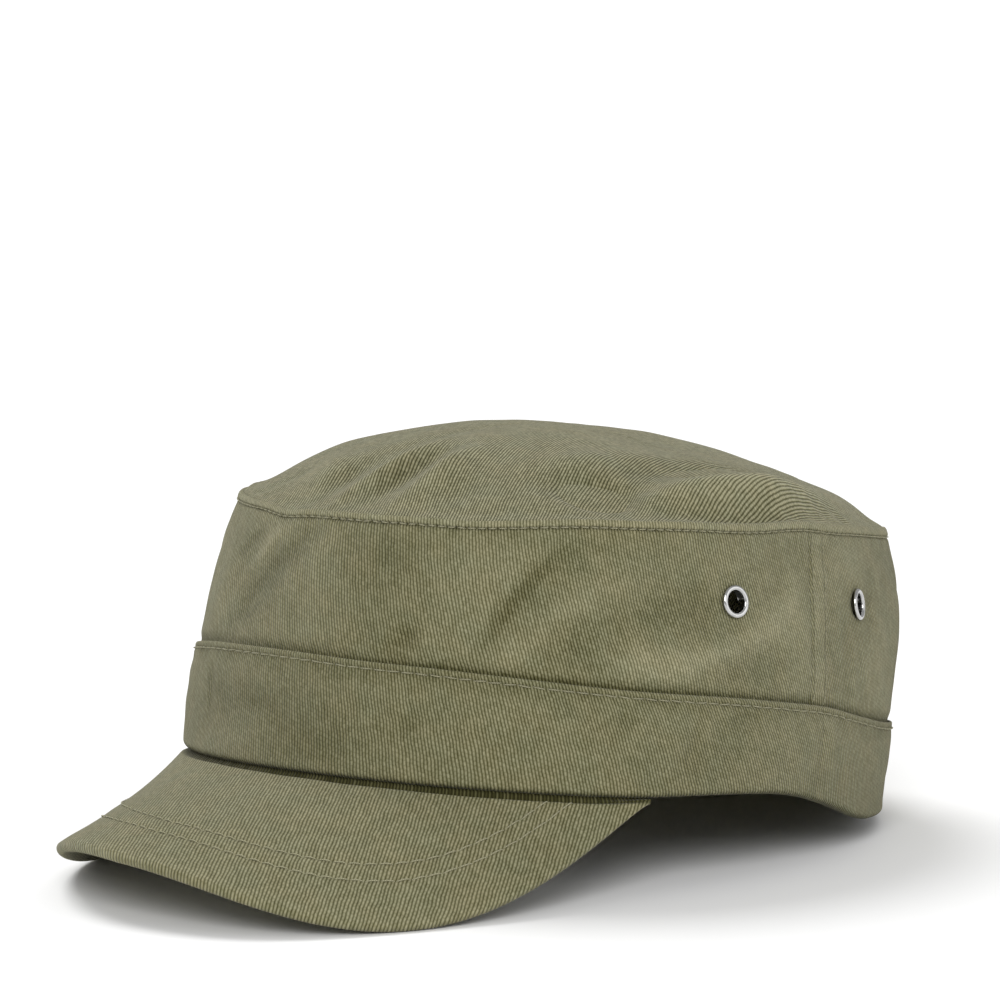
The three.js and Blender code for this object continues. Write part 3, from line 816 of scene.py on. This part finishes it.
def added(tree, total, value, gain, centre=0.5):
    """total plus gain times how far a value is from its centre."""
    offset = math_node(tree, "MULTIPLY_ADD", value, gain, -gain * centre)
    return math_node(tree, "ADD", total, offset)


def half_wave(tree, value):
    """Number of the wave that a value is in, and its height there between 0 and 1."""
    share = math_node(tree, "FRACT", value)
    return math_node(tree, "FLOOR", value), math_node(tree, "SINE", math_node(tree, "MULTIPLY", share, pi))


def colour_socket(sockets, name):
    return next(s for s in sockets if s.name == name and s.type == "RGBA")


def twill(name, contrast, pitch=TWILL_PITCH, drift=0.9):
    """Washed olive cotton twill, with painted shade in its grooves and painted light on its ridges.
    contrast is between ridges and grooves, and drift is how far the ridges wander, in pitches."""
    material, tree, shader = node_tree(name)
    place, across, along = weave_place(tree)
    across = math_node(tree, "DIVIDE", across, pitch)
    across = math_node(tree, "MULTIPLY_ADD", noise(tree, place, *WANDER), drift, across)
    ridge_index, ridge = half_wave(tree, across)
    along = math_node(tree, "DIVIDE", along, FLOAT_LENGTH)
    along = math_node(tree, "MULTIPLY_ADD", ridge_index, FLOAT_OFFSET, along)
    float_index, yarn = half_wave(tree, along)
    yarn = math_node(tree, "POWER", yarn, 0.5)
    cell = tree.nodes.new("ShaderNodeCombineXYZ")
    tree.links.new(ridge_index, cell.inputs[0])
    tree.links.new(float_index, cell.inputs[1])
    uneven = tree.nodes.new("ShaderNodeTexWhiteNoise")
    uneven.noise_dimensions = "2D"
    tree.links.new(cell.outputs[0], uneven.inputs["Vector"])
    worn_and_shaded = tree.nodes.new("ShaderNodeAttribute")
    worn_and_shaded.attribute_name = "wear_and_shade"
    fibre = noise(tree, place, *FIBRE)
    height = math_node(tree, "MULTIPLY_ADD", yarn, YARN_SHARE, 1 - YARN_SHARE)
    height = math_node(tree, "MULTIPLY", ridge, height)
    # Painted light and shade of the weave: the tone follows the ridges' height, darker in the grooves
    tone = math_node(tree, "MULTIPLY_ADD", height, contrast, 0.5 - MEAN_HEIGHT * contrast)
    tone = added(tree, tone, uneven.outputs["Value"], UNEVEN_GAIN * contrast)
    tone = added(tree, tone, fibre, FIBRE_GAIN * contrast)
    tone = added(tree, tone, noise(tree, place, *WASHED), WASHED_GAIN)
    tone = added(tree, tone, noise(tree, place, *RUBBED), RUBBED_GAIN)
    # Adds the per-point tone: part wear, part painted light on crests and painted shade in low and hidden
    # places
    tone = added(tree, tone, worn_and_shaded.outputs["Fac"], WEAR_AND_SHADE_GAIN, 0)
    mix = tree.nodes.new("ShaderNodeMix")
    mix.data_type = "RGBA"
    mix.blend_type = "MULTIPLY"
    mix.inputs["Factor"].default_value = 1.0
    tree.links.new(ramp(tree, tone, TWILL_TONES), colour_socket(mix.inputs, "A"))
    tree.links.new(ramp(tree, noise(tree, place, *TINT), TWILL_TINTS), colour_socket(mix.inputs, "B"))
    tree.links.new(colour_socket(mix.outputs, "Result"), shader.inputs["Base Color"])
    set_inputs(shader, TWILL_FINISH | TWILL_SHEEN)
    bumped(tree, shader, added(tree, height, fibre, FIBRE_RELIEF), TWILL_DEPTH)
    return material


def thread(name):
    material, tree, shader = node_tree(name)
    _, around, along = weave_place(tree)
    twist = math_node(tree, "MULTIPLY_ADD", around, THREAD_TWIST, along)
    strand = math_node(tree, "SINE", math_node(tree, "MULTIPLY", twist, 2 * pi))
    strand = math_node(tree, "MULTIPLY_ADD", strand, 0.5, 0.5)
    # Strands painted lighter and the grooves between them darker: painted shade of the twist
    tree.links.new(ramp(tree, strand, THREAD_TONES), shader.inputs["Base Color"])
    set_inputs(shader, {"Roughness": 0.7, "Sheen Weight": 0.1})
    bumped(tree, shader, strand, THREAD_DEPTH)
    return material


def polished_nickel(name):
    material, tree, shader = node_tree(name)
    scuffs = noise(tree, object_place(tree), *SCUFFS)
    rough = math_node(tree, "MULTIPLY_ADD", scuffs, *NICKEL_ROUGHNESS)
    tree.links.new(rough, shader.inputs["Roughness"])
    tree.links.new(ramp(tree, scuffs, NICKEL_TONES), shader.inputs["Base Color"])
    shader.inputs["Metallic"].default_value = 1.0
    bumped(tree, shader, scuffs, NICKEL_DEPTH, NICKEL_BUMP)
    return material


cloth_material = twill("olive_twill_cloth", 0.6)
top_material = twill("olive_twill_top", 0.88, 0.81, 0.5)
visor_material = twill("olive_twill_visor", 0.66)
thread_material = thread("olive_thread")
nickel_material = polished_nickel("nickel_polish")

# Drum and band


def strip_weave(length, angle, height, shift, front, gain, least, most):
    """Ridges lean back more and more towards the sides, as in a curved strip of straight cloth."""
    lean = np.radians(np.clip(front + gain * np.degrees(angle), least, most))
    return np.stack([length + shift + height * np.tan(lean), height - WEAVE_SHEAR * length], -1)


def columns_between(first, last):
    """Even columns along a panel, with a narrow one at each end for a crisp edge."""
    even = steps(first, last, int((last - first) / COLUMN_STEP))
    return np.concatenate([[first, first + EDGE_STEP], even[1:-1], [last - EDGE_STEP, last]])


def wall_face(lengths, rows, under):
    """Lengths, angles and heights of a wall panel's points, and how far out they lie."""
    heights = np.array(rows)
    lengths = leaned(np.broadcast_to(lengths, heights.shape), heights)
    angles = angle_at(lengths)
    out = WALL_FACE - tuck(band_height(angles) - heights)
    return (lengths, angles, heights), out + sunk(from_seam(lengths, WALL_SEAM, heights), under)


def wall_panel(name, first, last, under):
    lengths = columns_between(first, last)
    angles = angle_at(lengths)
    band, seam = band_height(angles), seam_height(angles)
    rows = [band - below for below in (BAND_OVERLAP, 6.0, *TUCK_ROWS)]
    rows += [band + up for up in steps(0, 5, 11)] + between(band + 5, seam - 8, 34)
    rows += [seam - down for down in (*steps(8, 3.9, 9), *steps(3.6, 0.12, 14), 0)]
    back_rows = [rows[0], rows[2], rows[4], band, band + 4] + between(band + 4, seam - 6, 9)
    back_rows += [seam - down for down in (6, 3, 0)]
    front, out = wall_face(lengths, rows, under)
    back, back_out = wall_face(lengths, back_rows, under)
    relief = wall_relief(*front)
    outer = wall_point(*front[1:], out + relief)
    inner = wall_point(*back[1:], back_out - CLOTH)
    middle = WALL_HEIGHT / 2
    weave = [strip_weave(*face[:2], face[2] - middle, *WALL_RIDGES) for face in (front, back)]
    # Painted shade in the gap above the band's edge; crests lighter as wear, grooves and creases darker as
    # painted shade
    above = front[2] - band_height(front[1])
    shade = bell(above - FOOT_SHADE_PLACE, FOOT_SHADE_WIDTH)
    shade = shade * ease(np.degrees(front[1]), *FOOT_SHADE_TURN)
    wear_and_shade = WALL_WEAR_AND_SHADE * np.clip(relief, -0.6, 0.6) - FOOT_SHADE * shade
    return cloth_slab(name, outer, inner, weave, wear_and_shade, cloth_material)


def band_piece(name, first, last, under):
    lengths = columns_between(first, last)
    angles = angle_at(lengths)
    hem, band = hem_edge(angles), band_height(angles)
    rows = [hem + up for up in HEM_ROWS] + between(hem + 4, band - 6, 20)
    rows += [band - down for down in (*steps(6, 0.8, 20), *BAND_EDGE_ROWS)]
    back_rows = [hem, hem + 1, hem + 4, (hem + band) / 2]
    back_rows += [band - below for below in (*TUCK_ROWS, 0)]
    front, back = (np.broadcast_arrays(lengths, angles, np.array(part)) for part in (rows, back_rows))
    relief = band_relief(*front)
    outer = wall_point(*front[1:], BAND_FACE + relief + sunk(from_seam(front[0], BAND_SEAM), under))
    inner = wall_point(*back[1:], WALL_FACE + GAP - tuck(band - back[2]))
    weave = [strip_weave(*face, *BAND_RIDGES) for face in (front, back)]
    # Folded top edge lighter as wear; painted shade on the hem's roll above the visor and in grooves and
    # creases
    wear_and_shade = BAND_EDGE_WEAR * np.exp((front[2] - band) / BAND_EDGE_WEAR_WIDTH)
    wear_and_shade = wear_and_shade - HEM_SHADE * bell(front[2] - hem, HEM_SHADE_WIDTH) + np.clip(relief, -0.5, 0)
    return cloth_slab(name, outer, inner, weave, wear_and_shade, cloth_material)


# Top panel


top_folds = np.array(TOP_FOLDS) * (HALF_WIDTH, HALF_LENGTH, 1, HALF_LENGTH, HALF_LENGTH, DOME_RISE)


def top_point(angle, share, out, raised):
    rim = wall_point(angle, seam_height(angle) - TOP_SUNK, out)
    x, y = rim[..., 0] * share, rim[..., 1] * share
    base = (WALL_HEIGHT - TOP_SUNK) * (1 - share) + rim[..., 2] * share
    rise = DOME_RISE * (1 - share**DOME_FULLNESS)
    return np.stack([x, y, base + rise + (1 - share**8) * bumps(top_folds, x, y) + raised], -1)


def top_weave(points, share):
    """Cloth laid over the dome, stretched towards the rim, its ridges drawn into a wide arc."""
    stretch = 1 + DOME_STRETCH * share**2
    away_x = ARC_CENTRE[0] - points[..., 0] * stretch
    away_y = ARC_CENTRE[1] - points[..., 1] * stretch
    return np.stack([-np.hypot(away_x, away_y), np.arctan2(away_x, away_y) * -ARC_RADIUS], -1)


def top_panel():
    angles = np.arange(TOP_COLUMNS) * 2 * pi / TOP_COLUMNS
    face, back = WALL_FACE - CLOTH - GAP, WALL_FACE - 2 * CLOTH - GAP
    start = seam_height(angles) - WELT_HEIGHT - TOP_ALLOWANCE
    foot = np.array([start + up for up in steps(0, TOP_ALLOWANCE + 0.9, 5)])
    shares = np.concatenate([steps(1, 0.93, 13), steps(0.92, 0.02, 78)])[:, None]
    back_shares = np.concatenate([steps(1, 0.9, 3), steps(0.8, 0.02, 16)])[:, None]
    plan = wall_point(angles, seam_height(angles), face)[..., :2] * shares[..., None]
    inset = (1 - shares) * HALF_WIDTH
    soft = rippled(plan[..., 0], plan[..., 1], TOP_RIPPLES)
    gather = rippled(girth(angles), inset * GATHER_STRETCH, GATHERS) * np.exp(-inset / GATHER_WIDTH)
    start_share = ease(inset, 0, TOP_FOLD_START)
    folded = creases(plan[..., 0], plan[..., 1], TOP_CREASES) * start_share
    relief = soft * ease(inset, 0, TOP_RIPPLE_START) + gather * start_share + folded
    relief += RIM_RISE * np.exp(-inset / RIM_RISE_WIDTH)
    spread = face + RIM_SPREAD * bell(inset, RIM_SPREAD_WIDTH)
    foot_angles = np.broadcast_to(angles, foot.shape)
    outer = [wall_point(foot_angles, foot, face), top_point(angles, shares, spread, relief)]
    inner = [wall_point(foot_angles[:2], foot[[0, -2]], back), top_point(angles, back_shares, back, -CLOTH)]
    outer, inner = np.concatenate(outer), np.concatenate(inner)
    weave = [
        top_weave(outer, np.concatenate([np.ones((len(foot), 1)), shares])),
        top_weave(inner, np.concatenate([np.ones((2, 1)), back_shares])),
    ]
    # Fold and ripple crests painted lighter and hollows painted darker: part wear, part painted light and
    # shade
    wear_and_shade = np.clip(FOLD_WEAR_AND_SHADE * folded + RIPPLE_WEAR_AND_SHADE * soft, -0.5, 0.5)
    wear_and_shade = np.concatenate([np.zeros(foot.shape), wear_and_shade])
    return cloth_slab("top_panel_cloth", outer, inner, weave, wear_and_shade, top_material, ring=True)


# Visor. side runs from -1 on the wearer's right to 1 on the left.


def visor_root(side):
    angle = radians(VISOR_ANGLE) * side
    return wall_point(angle, hem_height(angle) - GAP, 0)


def visor_edge(side):
    end = visor_root(np.array(1.0))
    turn = (pi / 2) * np.abs(side)
    power = 2 / np.where(side < 0, VISOR_SQUARE_RIGHT, VISOR_SQUARE_LEFT)
    tip = -HALF_LENGTH * PLAN_SIZES[1][0] - VISOR_REACH
    drop = VISOR_DROOP * through(VISOR_SIDES, VISOR_DROPS, side)
    lip = VISOR_END_LIP * np.abs(side) ** 8
    x = np.sign(side) * end[0] * np.sin(turn) ** power
    y = end[1] + (tip - end[1]) * np.maximum(np.cos(turn), 0) ** power
    return np.stack([x, y, end[2] - drop - lip], -1)


def visor_point(side, share):
    share = np.asarray(share)[..., None]
    return visor_root(side) * (1 - share) + visor_edge(side) * share


def inside_ends(side):
    """The side kept clear of the visor's ends, and a small step of it."""
    step = NUDGE * 4
    return np.clip(side, -1 + step, 1 - step), step


def visor_normal(side, share):
    middle, step = inside_ends(side)
    sideways = visor_point(middle + step, share) - visor_point(middle - step, share)
    return unit(np.cross(visor_edge(middle) - visor_root(middle), sideways))


def visor_depth(side):
    """Length of the visor square to its edge."""
    middle, step = inside_ends(side)
    along = unit(visor_edge(middle + step) - visor_edge(middle - step))
    reach = visor_edge(middle) - visor_root(middle)
    return np.linalg.norm(reach - (reach * along).sum(-1)[..., None] * along, axis=-1)


def visor_reach(side):
    return np.linalg.norm(visor_edge(side) - visor_root(side), axis=-1)


def visor_thickness(side):
    return VISOR_THICKNESS * (1 - VISOR_END_THINNING * np.abs(side) ** 6)


# Length along the visor's edge against the side
EDGE_SIDES = steps(-1, 1, 801)
EDGE_LENGTHS = lengths_from_zero(EDGE_SIDES, visor_edge(EDGE_SIDES))


def visor_relief(side, share):
    inset = (1 - share) * visor_depth(side)
    length = np.interp(side, EDGE_SIDES, EDGE_LENGTHS)
    total = rippled(length, inset, VISOR_RIPPLES) * ease(inset, 0, VISOR_RIPPLE_START)
    for row in VISOR_ROWS:
        total += stitch_dent(length, inset - row, VISOR_PITCH, VISOR_DENT)
    for place, width, height in VISOR_SWELLS:
        total += height * bell(inset - place, width)
    return total


def visor_surface(side, share, below=False):
    """Points and outward directions of the sewn upper or lower face."""
    normal = visor_normal(side, share)
    upper = visor_point(side, share)
    relief = visor_relief(side, share)[..., None]
    if below:
        return upper - normal * (visor_thickness(side)[..., None] + relief), -normal
    gutter = GUTTER_LEFT + (GUTTER_RIGHT - GUTTER_LEFT) * ease(side, *GUTTER_SIDES)
    gutter = gutter * (1 - np.abs(side) ** 8) * bell(share * visor_reach(side), GUTTER_WIDTH, 4)
    return upper + normal * (relief - gutter[..., None]), normal


def beyond(first, second, from_first, from_second, turn):
    """Point of a plane at two distances from two points, to the left of them where turn is 1."""
    gap = second - first
    size = hypot(*gap)
    along = (from_first**2 - from_second**2 + size**2) / (2 * size)
    across = sqrt(max(from_first**2 - along**2, 0))
    ahead = gap / size
    return first + ahead * along + np.array([-ahead[1], ahead[0]]) * across * turn


def flattened():
    """Root and edge of the visor unrolled into the plane, strip by strip from the middle."""
    half = 300
    sides = steps(-1, 1, 2 * half + 1)
    root, edge = visor_root(sides), visor_edge(sides)
    flat_root, flat_edge = np.zeros((2, len(sides), 2))
    flat_edge[half, 1] = -dist(edge[half], root[half])
    for turn in (1, -1):
        for at in range(half, half + turn * half, turn):
            flat, new = (flat_root[at], flat_edge[at]), at + turn
            over = (dist(root[new], root[at]), dist(root[new], edge[at]))
            flat_root[new] = beyond(*flat, *over, turn)
            over = (dist(edge[new], root[new]), dist(edge[new], edge[at]))
            flat_edge[new] = beyond(flat_root[new], flat[1], *over, turn)
    return sides, flat_root, flat_edge


def visor_weave(side, share, up):
    """Straight cloth bent over the visor. up is the height in the allowance behind the band."""
    sides, *lines = flattened()
    root, edge = (np.stack([np.interp(side, sides, part) for part in line.T], -1) for line in lines)
    place = root * (1 - share[..., None]) + edge * share[..., None]
    across, along = place[..., 0], place[..., 1] + up
    turn_cos, turn_sin = cos(VISOR_TWILL_TURN), sin(VISOR_TWILL_TURN)
    return np.stack([across * turn_cos + along * turn_sin, along * turn_cos - across * turn_sin], -1)


def visor_piece():
    length = steps(EDGE_LENGTHS[0], EDGE_LENGTHS[-1], VISOR_COLUMNS)
    side = np.interp(length, EDGE_LENGTHS, EDGE_SIDES)
    angle = radians(VISOR_ANGLE) * side
    inside = BAND_FACE - BAND_CLOTH - GAP
    hem = hem_height(angle) - GAP
    reach, thickness = visor_reach(side), visor_thickness(side)
    start = np.minimum(thickness / 2 / reach, 0.33)
    ups, back_ups = steps(VISOR_ALLOWANCE, 0, 5), steps(1, VISOR_ALLOWANCE, 4)
    rows = [wall_point(angle, hem + up, inside) for up in ups]
    root = visor_surface(side, 0 * side)[0]
    rows += [rows[-1] * (1 - share) + root * share for share in (0.3, 0.65)]
    first = len(rows)
    shares = np.concatenate([steps(0, 0.06, 10), steps(0.07, 1, 88)])[:, None] * (1 - start)
    rows += [visor_surface(side, share)[0] for share in shares]
    edge = len(rows)
    upper = visor_surface(side, 1 - start)[0]
    lower = visor_surface(side, 1 - start, below=True)[0]
    outwards = unit(visor_edge(side) - visor_root(side)) * (start * reach)[:, None]
    turns = steps(0, pi, 12)[1:-1]
    for turn in turns:
        rows.append((upper + lower) / 2 + (upper - lower) / 2 * cos(turn) + outwards * sin(turn))
    under = steps(1, 0, 60)[:, None] * (1 - start)
    rows += [visor_surface(side, share, below=True)[0] for share in under]
    drop = (thickness / 2) * visor_normal(side, 0 * side)[..., 2]
    folded = wall_point(angle, hem - drop, inside - ALLOWANCE_CLOTH)
    rows += [(rows[-1] + folded) / 2, folded]
    rows += [wall_point(angle, hem + up, inside - ALLOWANCE_CLOTH) for up in back_ups]
    index = numbered((len(rows), VISOR_COLUMNS))
    rim = 1 - start * (1 - np.sin(turns))[:, None]
    hidden = np.zeros((first, VISOR_COLUMNS))
    share_rows = np.concatenate([hidden, shares, rim, under, hidden[1:]])
    up_rows = np.zeros((len(rows), 1))
    up_rows[: len(ups), 0] = ups
    up_rows[-len(back_ups) :, 0] = back_ups
    weave = visor_weave(side, share_rows, up_rows)
    wear_and_shade = np.zeros(index.shape)
    # Painted shade on the allowance behind the band and in the gutter under the hem; the rim is lighter as
    # wear
    wear_and_shade[:first] = -GUTTER_SHADE
    wear_and_shade[first:edge] = -GUTTER_SHADE * bell(shares * reach, GUTTER_WIDTH, 4)
    wear_and_shade[edge - 4 : edge + 12] = VISOR_EDGE_WEAR
    quads, loops = grid_quads(looped(index, 0), flip=True), [index[:, 0], index[::-1, -1]]
    return mesh_object("visor_cloth", lay_down(np.array(rows)), quads, loops, visor_material, weave, wear_and_shade)


# Stitches


def stitch_row(name, first, last, pitch, place, *where, radius=THREAD_RADIUS):
    """Separate stitches along a path. place gives points and normals at an array of lengths."""
    count = round((last - first) / pitch)
    pitch = (last - first) / count
    share = steps(0, 1, STITCH_STATIONS)
    lengths = (first + np.arange(count) * pitch)[:, None] + (0.06 + 0.88 * share) * pitch
    points, normals = place(lengths, *where)
    tangent = unit(np.gradient(points, axis=1))
    normals = unit(normals - (normals * tangent).sum(-1)[..., None] * tangent)
    across = np.cross(tangent, normals)
    lift = radius * (STITCH_ARCH * np.sin(pi * share) ** 0.6 - STITCH_SUNK)
    rng = np.random.default_rng(int(pitch * 100) + count)
    lean = rng.uniform(-STITCH_LEAN, STITCH_LEAN, count)[:, None, None] * (share[:, None] - 0.5) * pitch
    points = points + normals * lift[:, None] + across * lean
    turn = np.arange(STITCH_SIDES) * 2 * pi / STITCH_SIDES
    thick = radius * (STITCH_END + (1 - STITCH_END) * np.sin(pi * share))
    ring = normals[:, :, None] * np.cos(turn)[:, None] + across[:, :, None] * np.sin(turn)[:, None]
    surface = points[:, :, None] + ring * thick[:, None, None]
    index = numbered(surface.shape[:3])
    loops = [*index[:, 0], *index[:, -1, ::-1]]
    along = np.broadcast_to(share[:, None] * pitch * 1.6, index.shape)
    around = np.broadcast_to(turn / (pi * THREAD_TWIST), index.shape)
    quads, weave = grid_quads(looped(index, 2), flip=True), np.stack([around, along], -1)
    row = mesh_object(name, lay_down(surface), quads, loops, thread_material, weave)
    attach(row, "root")


def on_face(angle, height, face, out):
    points = wall_point(angle, height, face + out)
    return points, unit(points - wall_point(angle, height, face - 10))


def on_top_seam(length):
    angle = angle_at(length)
    height = seam_height(angle) - seam_row(angle)
    return on_face(angle, height, WALL_FACE, wall_relief(length, angle, height) + SEAM_THREAD)


def on_band(length):
    angle = angle_at(length)
    height = band_height(angle) - BAND_ROW
    return on_face(angle, height, BAND_FACE, band_relief(length, angle, height) + BAND_THREAD)


def on_side_seam(height, sign, row):
    length = sign * (WALL_SEAM - SEAM_LEAN * (WALL_HEIGHT - height) + row)
    angle = angle_at(length)
    return on_face(angle, height, WALL_FACE, wall_relief(length, angle, height) + SIDE_THREAD)


def on_visor(length, inset, below):
    side = np.interp(length, EDGE_LENGTHS, EDGE_SIDES)
    points, normals = visor_surface(side, 1 - inset / visor_depth(side), below)
    return points + normals * VISOR_THREAD, normals


# Eyelets


def eyelet_seat(angle):
    """Place and outward direction of an eyelet, in metres on the surface."""
    angle = np.array([angle, angle + NUDGE, angle])
    height = WALL_HEIGHT * EYELET_HEIGHT_SHARE + np.array([0, 0, NUDGE * HALF_WIDTH])
    centre, ahead, above = (Vector(p) for p in lay_down(wall_point(angle, height, WALL_FACE)))
    upright = (above - centre).normalized()
    normal = (ahead - centre).cross(above - centre).normalized()
    if abs(angle[0]) > radians(WALL_SEAM_ANGLE):
        tilt = copysign(radians(REAR_EYELET_TILT), angle[0])
        normal.rotate(Matrix.Rotation(tilt, 3, upright))
    return centre, normal


def cut_hole(piece, angle):
    centre, normal = eyelet_seat(angle)
    bpy.ops.mesh.primitive_cylinder_add(
        vertices=48,
        radius=(EYELET_BORE + EYELET_METAL + GAP) * MM,
        depth=CLOTH * 8 * MM,
        location=centre,
        rotation=normal.to_track_quat("Z", "Y").to_euler(),
    )
    drill = bpy.context.object
    cut = piece.modifiers.new("hole", "BOOLEAN")
    cut.operation = "DIFFERENCE"
    cut.solver = "EXACT"
    cut.object = drill
    bpy.context.view_layer.objects.active = piece
    bpy.ops.object.modifier_apply(modifier=cut.name)
    bpy.data.objects.remove(drill)


def eyelet_ring(name, angle):
    """Rolled ring, barrel and inner washer, spun round the eyelet's axis."""
    barrel = EYELET_BORE + EYELET_METAL
    washer, foot = -CLOTH - GAP, GAP * 0.6
    profile = [(EYELET_BORE, washer), (barrel, washer - 0.25), (EYELET_RADIUS, washer - 0.4)]
    profile += [(EYELET_RADIUS, washer), (barrel, washer), (barrel, foot)]
    crown, half = (EYELET_BORE + EYELET_RADIUS) / 2, (EYELET_RADIUS - EYELET_BORE) / 2
    for turn in steps(0, pi, 15):
        profile.append((crown + half * cos(turn), foot + EYELET_RISE * sin(turn) ** 0.8))
    profile += [(EYELET_BORE, -drop) for drop in (0.3, 0.8, 1.4)]
    radius, height = np.array(profile).T[..., None]
    turn = np.arange(EYELET_SIDES) * 2 * pi / EYELET_SIDES
    centre, normal = eyelet_seat(angle)
    first = normal.orthogonal().normalized()
    axes = np.array([first, normal.cross(first), normal])
    local = np.stack([radius * np.cos(turn), radius * np.sin(turn), height + 0 * turn], -1)
    quads = grid_quads(looped(looped(numbered(local.shape[:2]), 1), 0))
    return mesh_object(name, local @ axes * MM + np.array(centre), quads, [], nickel_material)


def dress(piece, node):
    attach(piece, "root")
    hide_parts(node)


def front_and_back(make, label, seam, under):
    """The front piece, which passes under the back one at both seams, and the back one."""
    front = make(label + "_front_cloth", -seam - UNDERLAP, seam + UNDERLAP, under)
    return front, make(label + "_back_cloth", seam + SEAM_PLAY, WHOLE_GIRTH - seam - SEAM_PLAY, 0)


eyelet_places = (("front", radians(EYELET_FRONT_ANGLE)), ("rear", radians(EYELET_REAR_ANGLE)))
walls = front_and_back(wall_panel, "side", WALL_SEAM, CLOTH + GAP)
bands = front_and_back(band_piece, "band", BAND_SEAM, BAND_UNDER)
for panel, (_, angle) in zip(walls, eyelet_places):
    cut_hole(panel, angle)
    cut_hole(panel, -angle)
for pieces, start in ((walls, "side_panel_"), (bands, "band_")):
    for piece, end in zip(pieces, ("front", "back")):
        dress(piece, start + end)
dress(top_panel(), "top_panel")
dress(visor_piece(), "visor")
stitch_row("top_seam_stitches", -WHOLE_GIRTH / 2, WHOLE_GIRTH / 2, SEAM_PITCH, on_top_seam)
stitch_row("band_stitches", -WHOLE_GIRTH / 2, WHOLE_GIRTH / 2, BAND_PITCH, on_band)
for label, sign in (("left", 1), ("right", -1)):
    for number, row in enumerate(SIDE_ROWS, 1):
        angle = angle_at(sign * (WALL_SEAM + row))
        span = (band_height(angle) + 0.5, seam_height(angle) - seam_row(angle) - 0.6)
        name = f"side_stitches_{label}_{number}"
        stitch_row(name, *span, SIDE_PITCH, on_side_seam, sign, row, radius=THREAD_RADIUS * 0.8)
for number, row in enumerate(VISOR_ROWS, 1):
    reached = EDGE_LENGTHS[visor_depth(EDGE_SIDES) > row]
    for label, below in (("top", False), ("under", True)):
        name = f"visor_stitches_{number}_{label}"
        stitch_row(name, reached[0], reached[-1], VISOR_PITCH, on_visor, row, below)
for label, sign in (("left", 1), ("right", -1)):
    for place, angle in eyelet_places:
        node = f"eyelet_{label}_{place}"
        dress(eyelet_ring(node + "_ring", sign * angle), node)

# Studio


def seen_from(azimuth, elevation):
    """Direction from the cap, the azimuth round from the front towards the wearer's left."""
    around, up = radians(azimuth), radians(elevation)
    return Vector((sin(around) * cos(up), -cos(around) * cos(up), sin(up)))


def studio_floor():
    bpy.ops.mesh.primitive_plane_add(size=FLOOR_SIZE, location=(0, 0, FLOOR_DROP))
    floor = bpy.context.object
    floor.name = "studio_floor"
    material, tree, shader = node_tree("pale_floor")
    grain = noise(tree, object_place(tree), *FLOOR_GRAIN)
    tree.links.new(ramp(tree, grain, FLOOR_TONES), shader.inputs["Base Color"])
    shader.inputs["Roughness"].default_value = 0.9
    floor.data.materials.append(material)


def studio_light():
    world = bpy.data.worlds.new("studio_air")
    bpy.context.scene.world = world
    world.use_nodes = True
    set_inputs(world.node_tree.nodes["Background"], {"Color": (1.0, 1.0, 1.0, 1), "Strength": 0.5})
    for name, azimuth, elevation, spread, strength in SUNS:
        light = bpy.data.lights.new(name, "SUN")
        light.angle = radians(spread)
        light.energy = strength
        lamp = link(bpy.data.objects.new(name, light))
        lamp.rotation_euler = seen_from(azimuth, elevation).to_track_quat("Z", "Y").to_euler()
    bpy.context.scene.view_settings.view_transform = "Standard"


def studio_camera():
    back = seen_from(CAMERA_AZIMUTH, CAMERA_ELEVATION)
    data = bpy.data.cameras.new("camera")
    data.sensor_width = SENSOR
    data.lens = CAMERA_FOCUS * SENSOR / PHOTO_SIDE
    camera = link(bpy.data.objects.new("camera", data))
    camera.location = Vector(CAMERA_AIM) * MM + back * CAMERA_DISTANCE * MM
    look = back.to_track_quat("Z", "Y").to_matrix().to_4x4()
    camera.rotation_euler = (look @ Matrix.Rotation(radians(CAMERA_ROLL), 4, "Z")).to_euler()
    bpy.context.scene.camera = camera


studio_floor()
studio_light()
studio_camera()
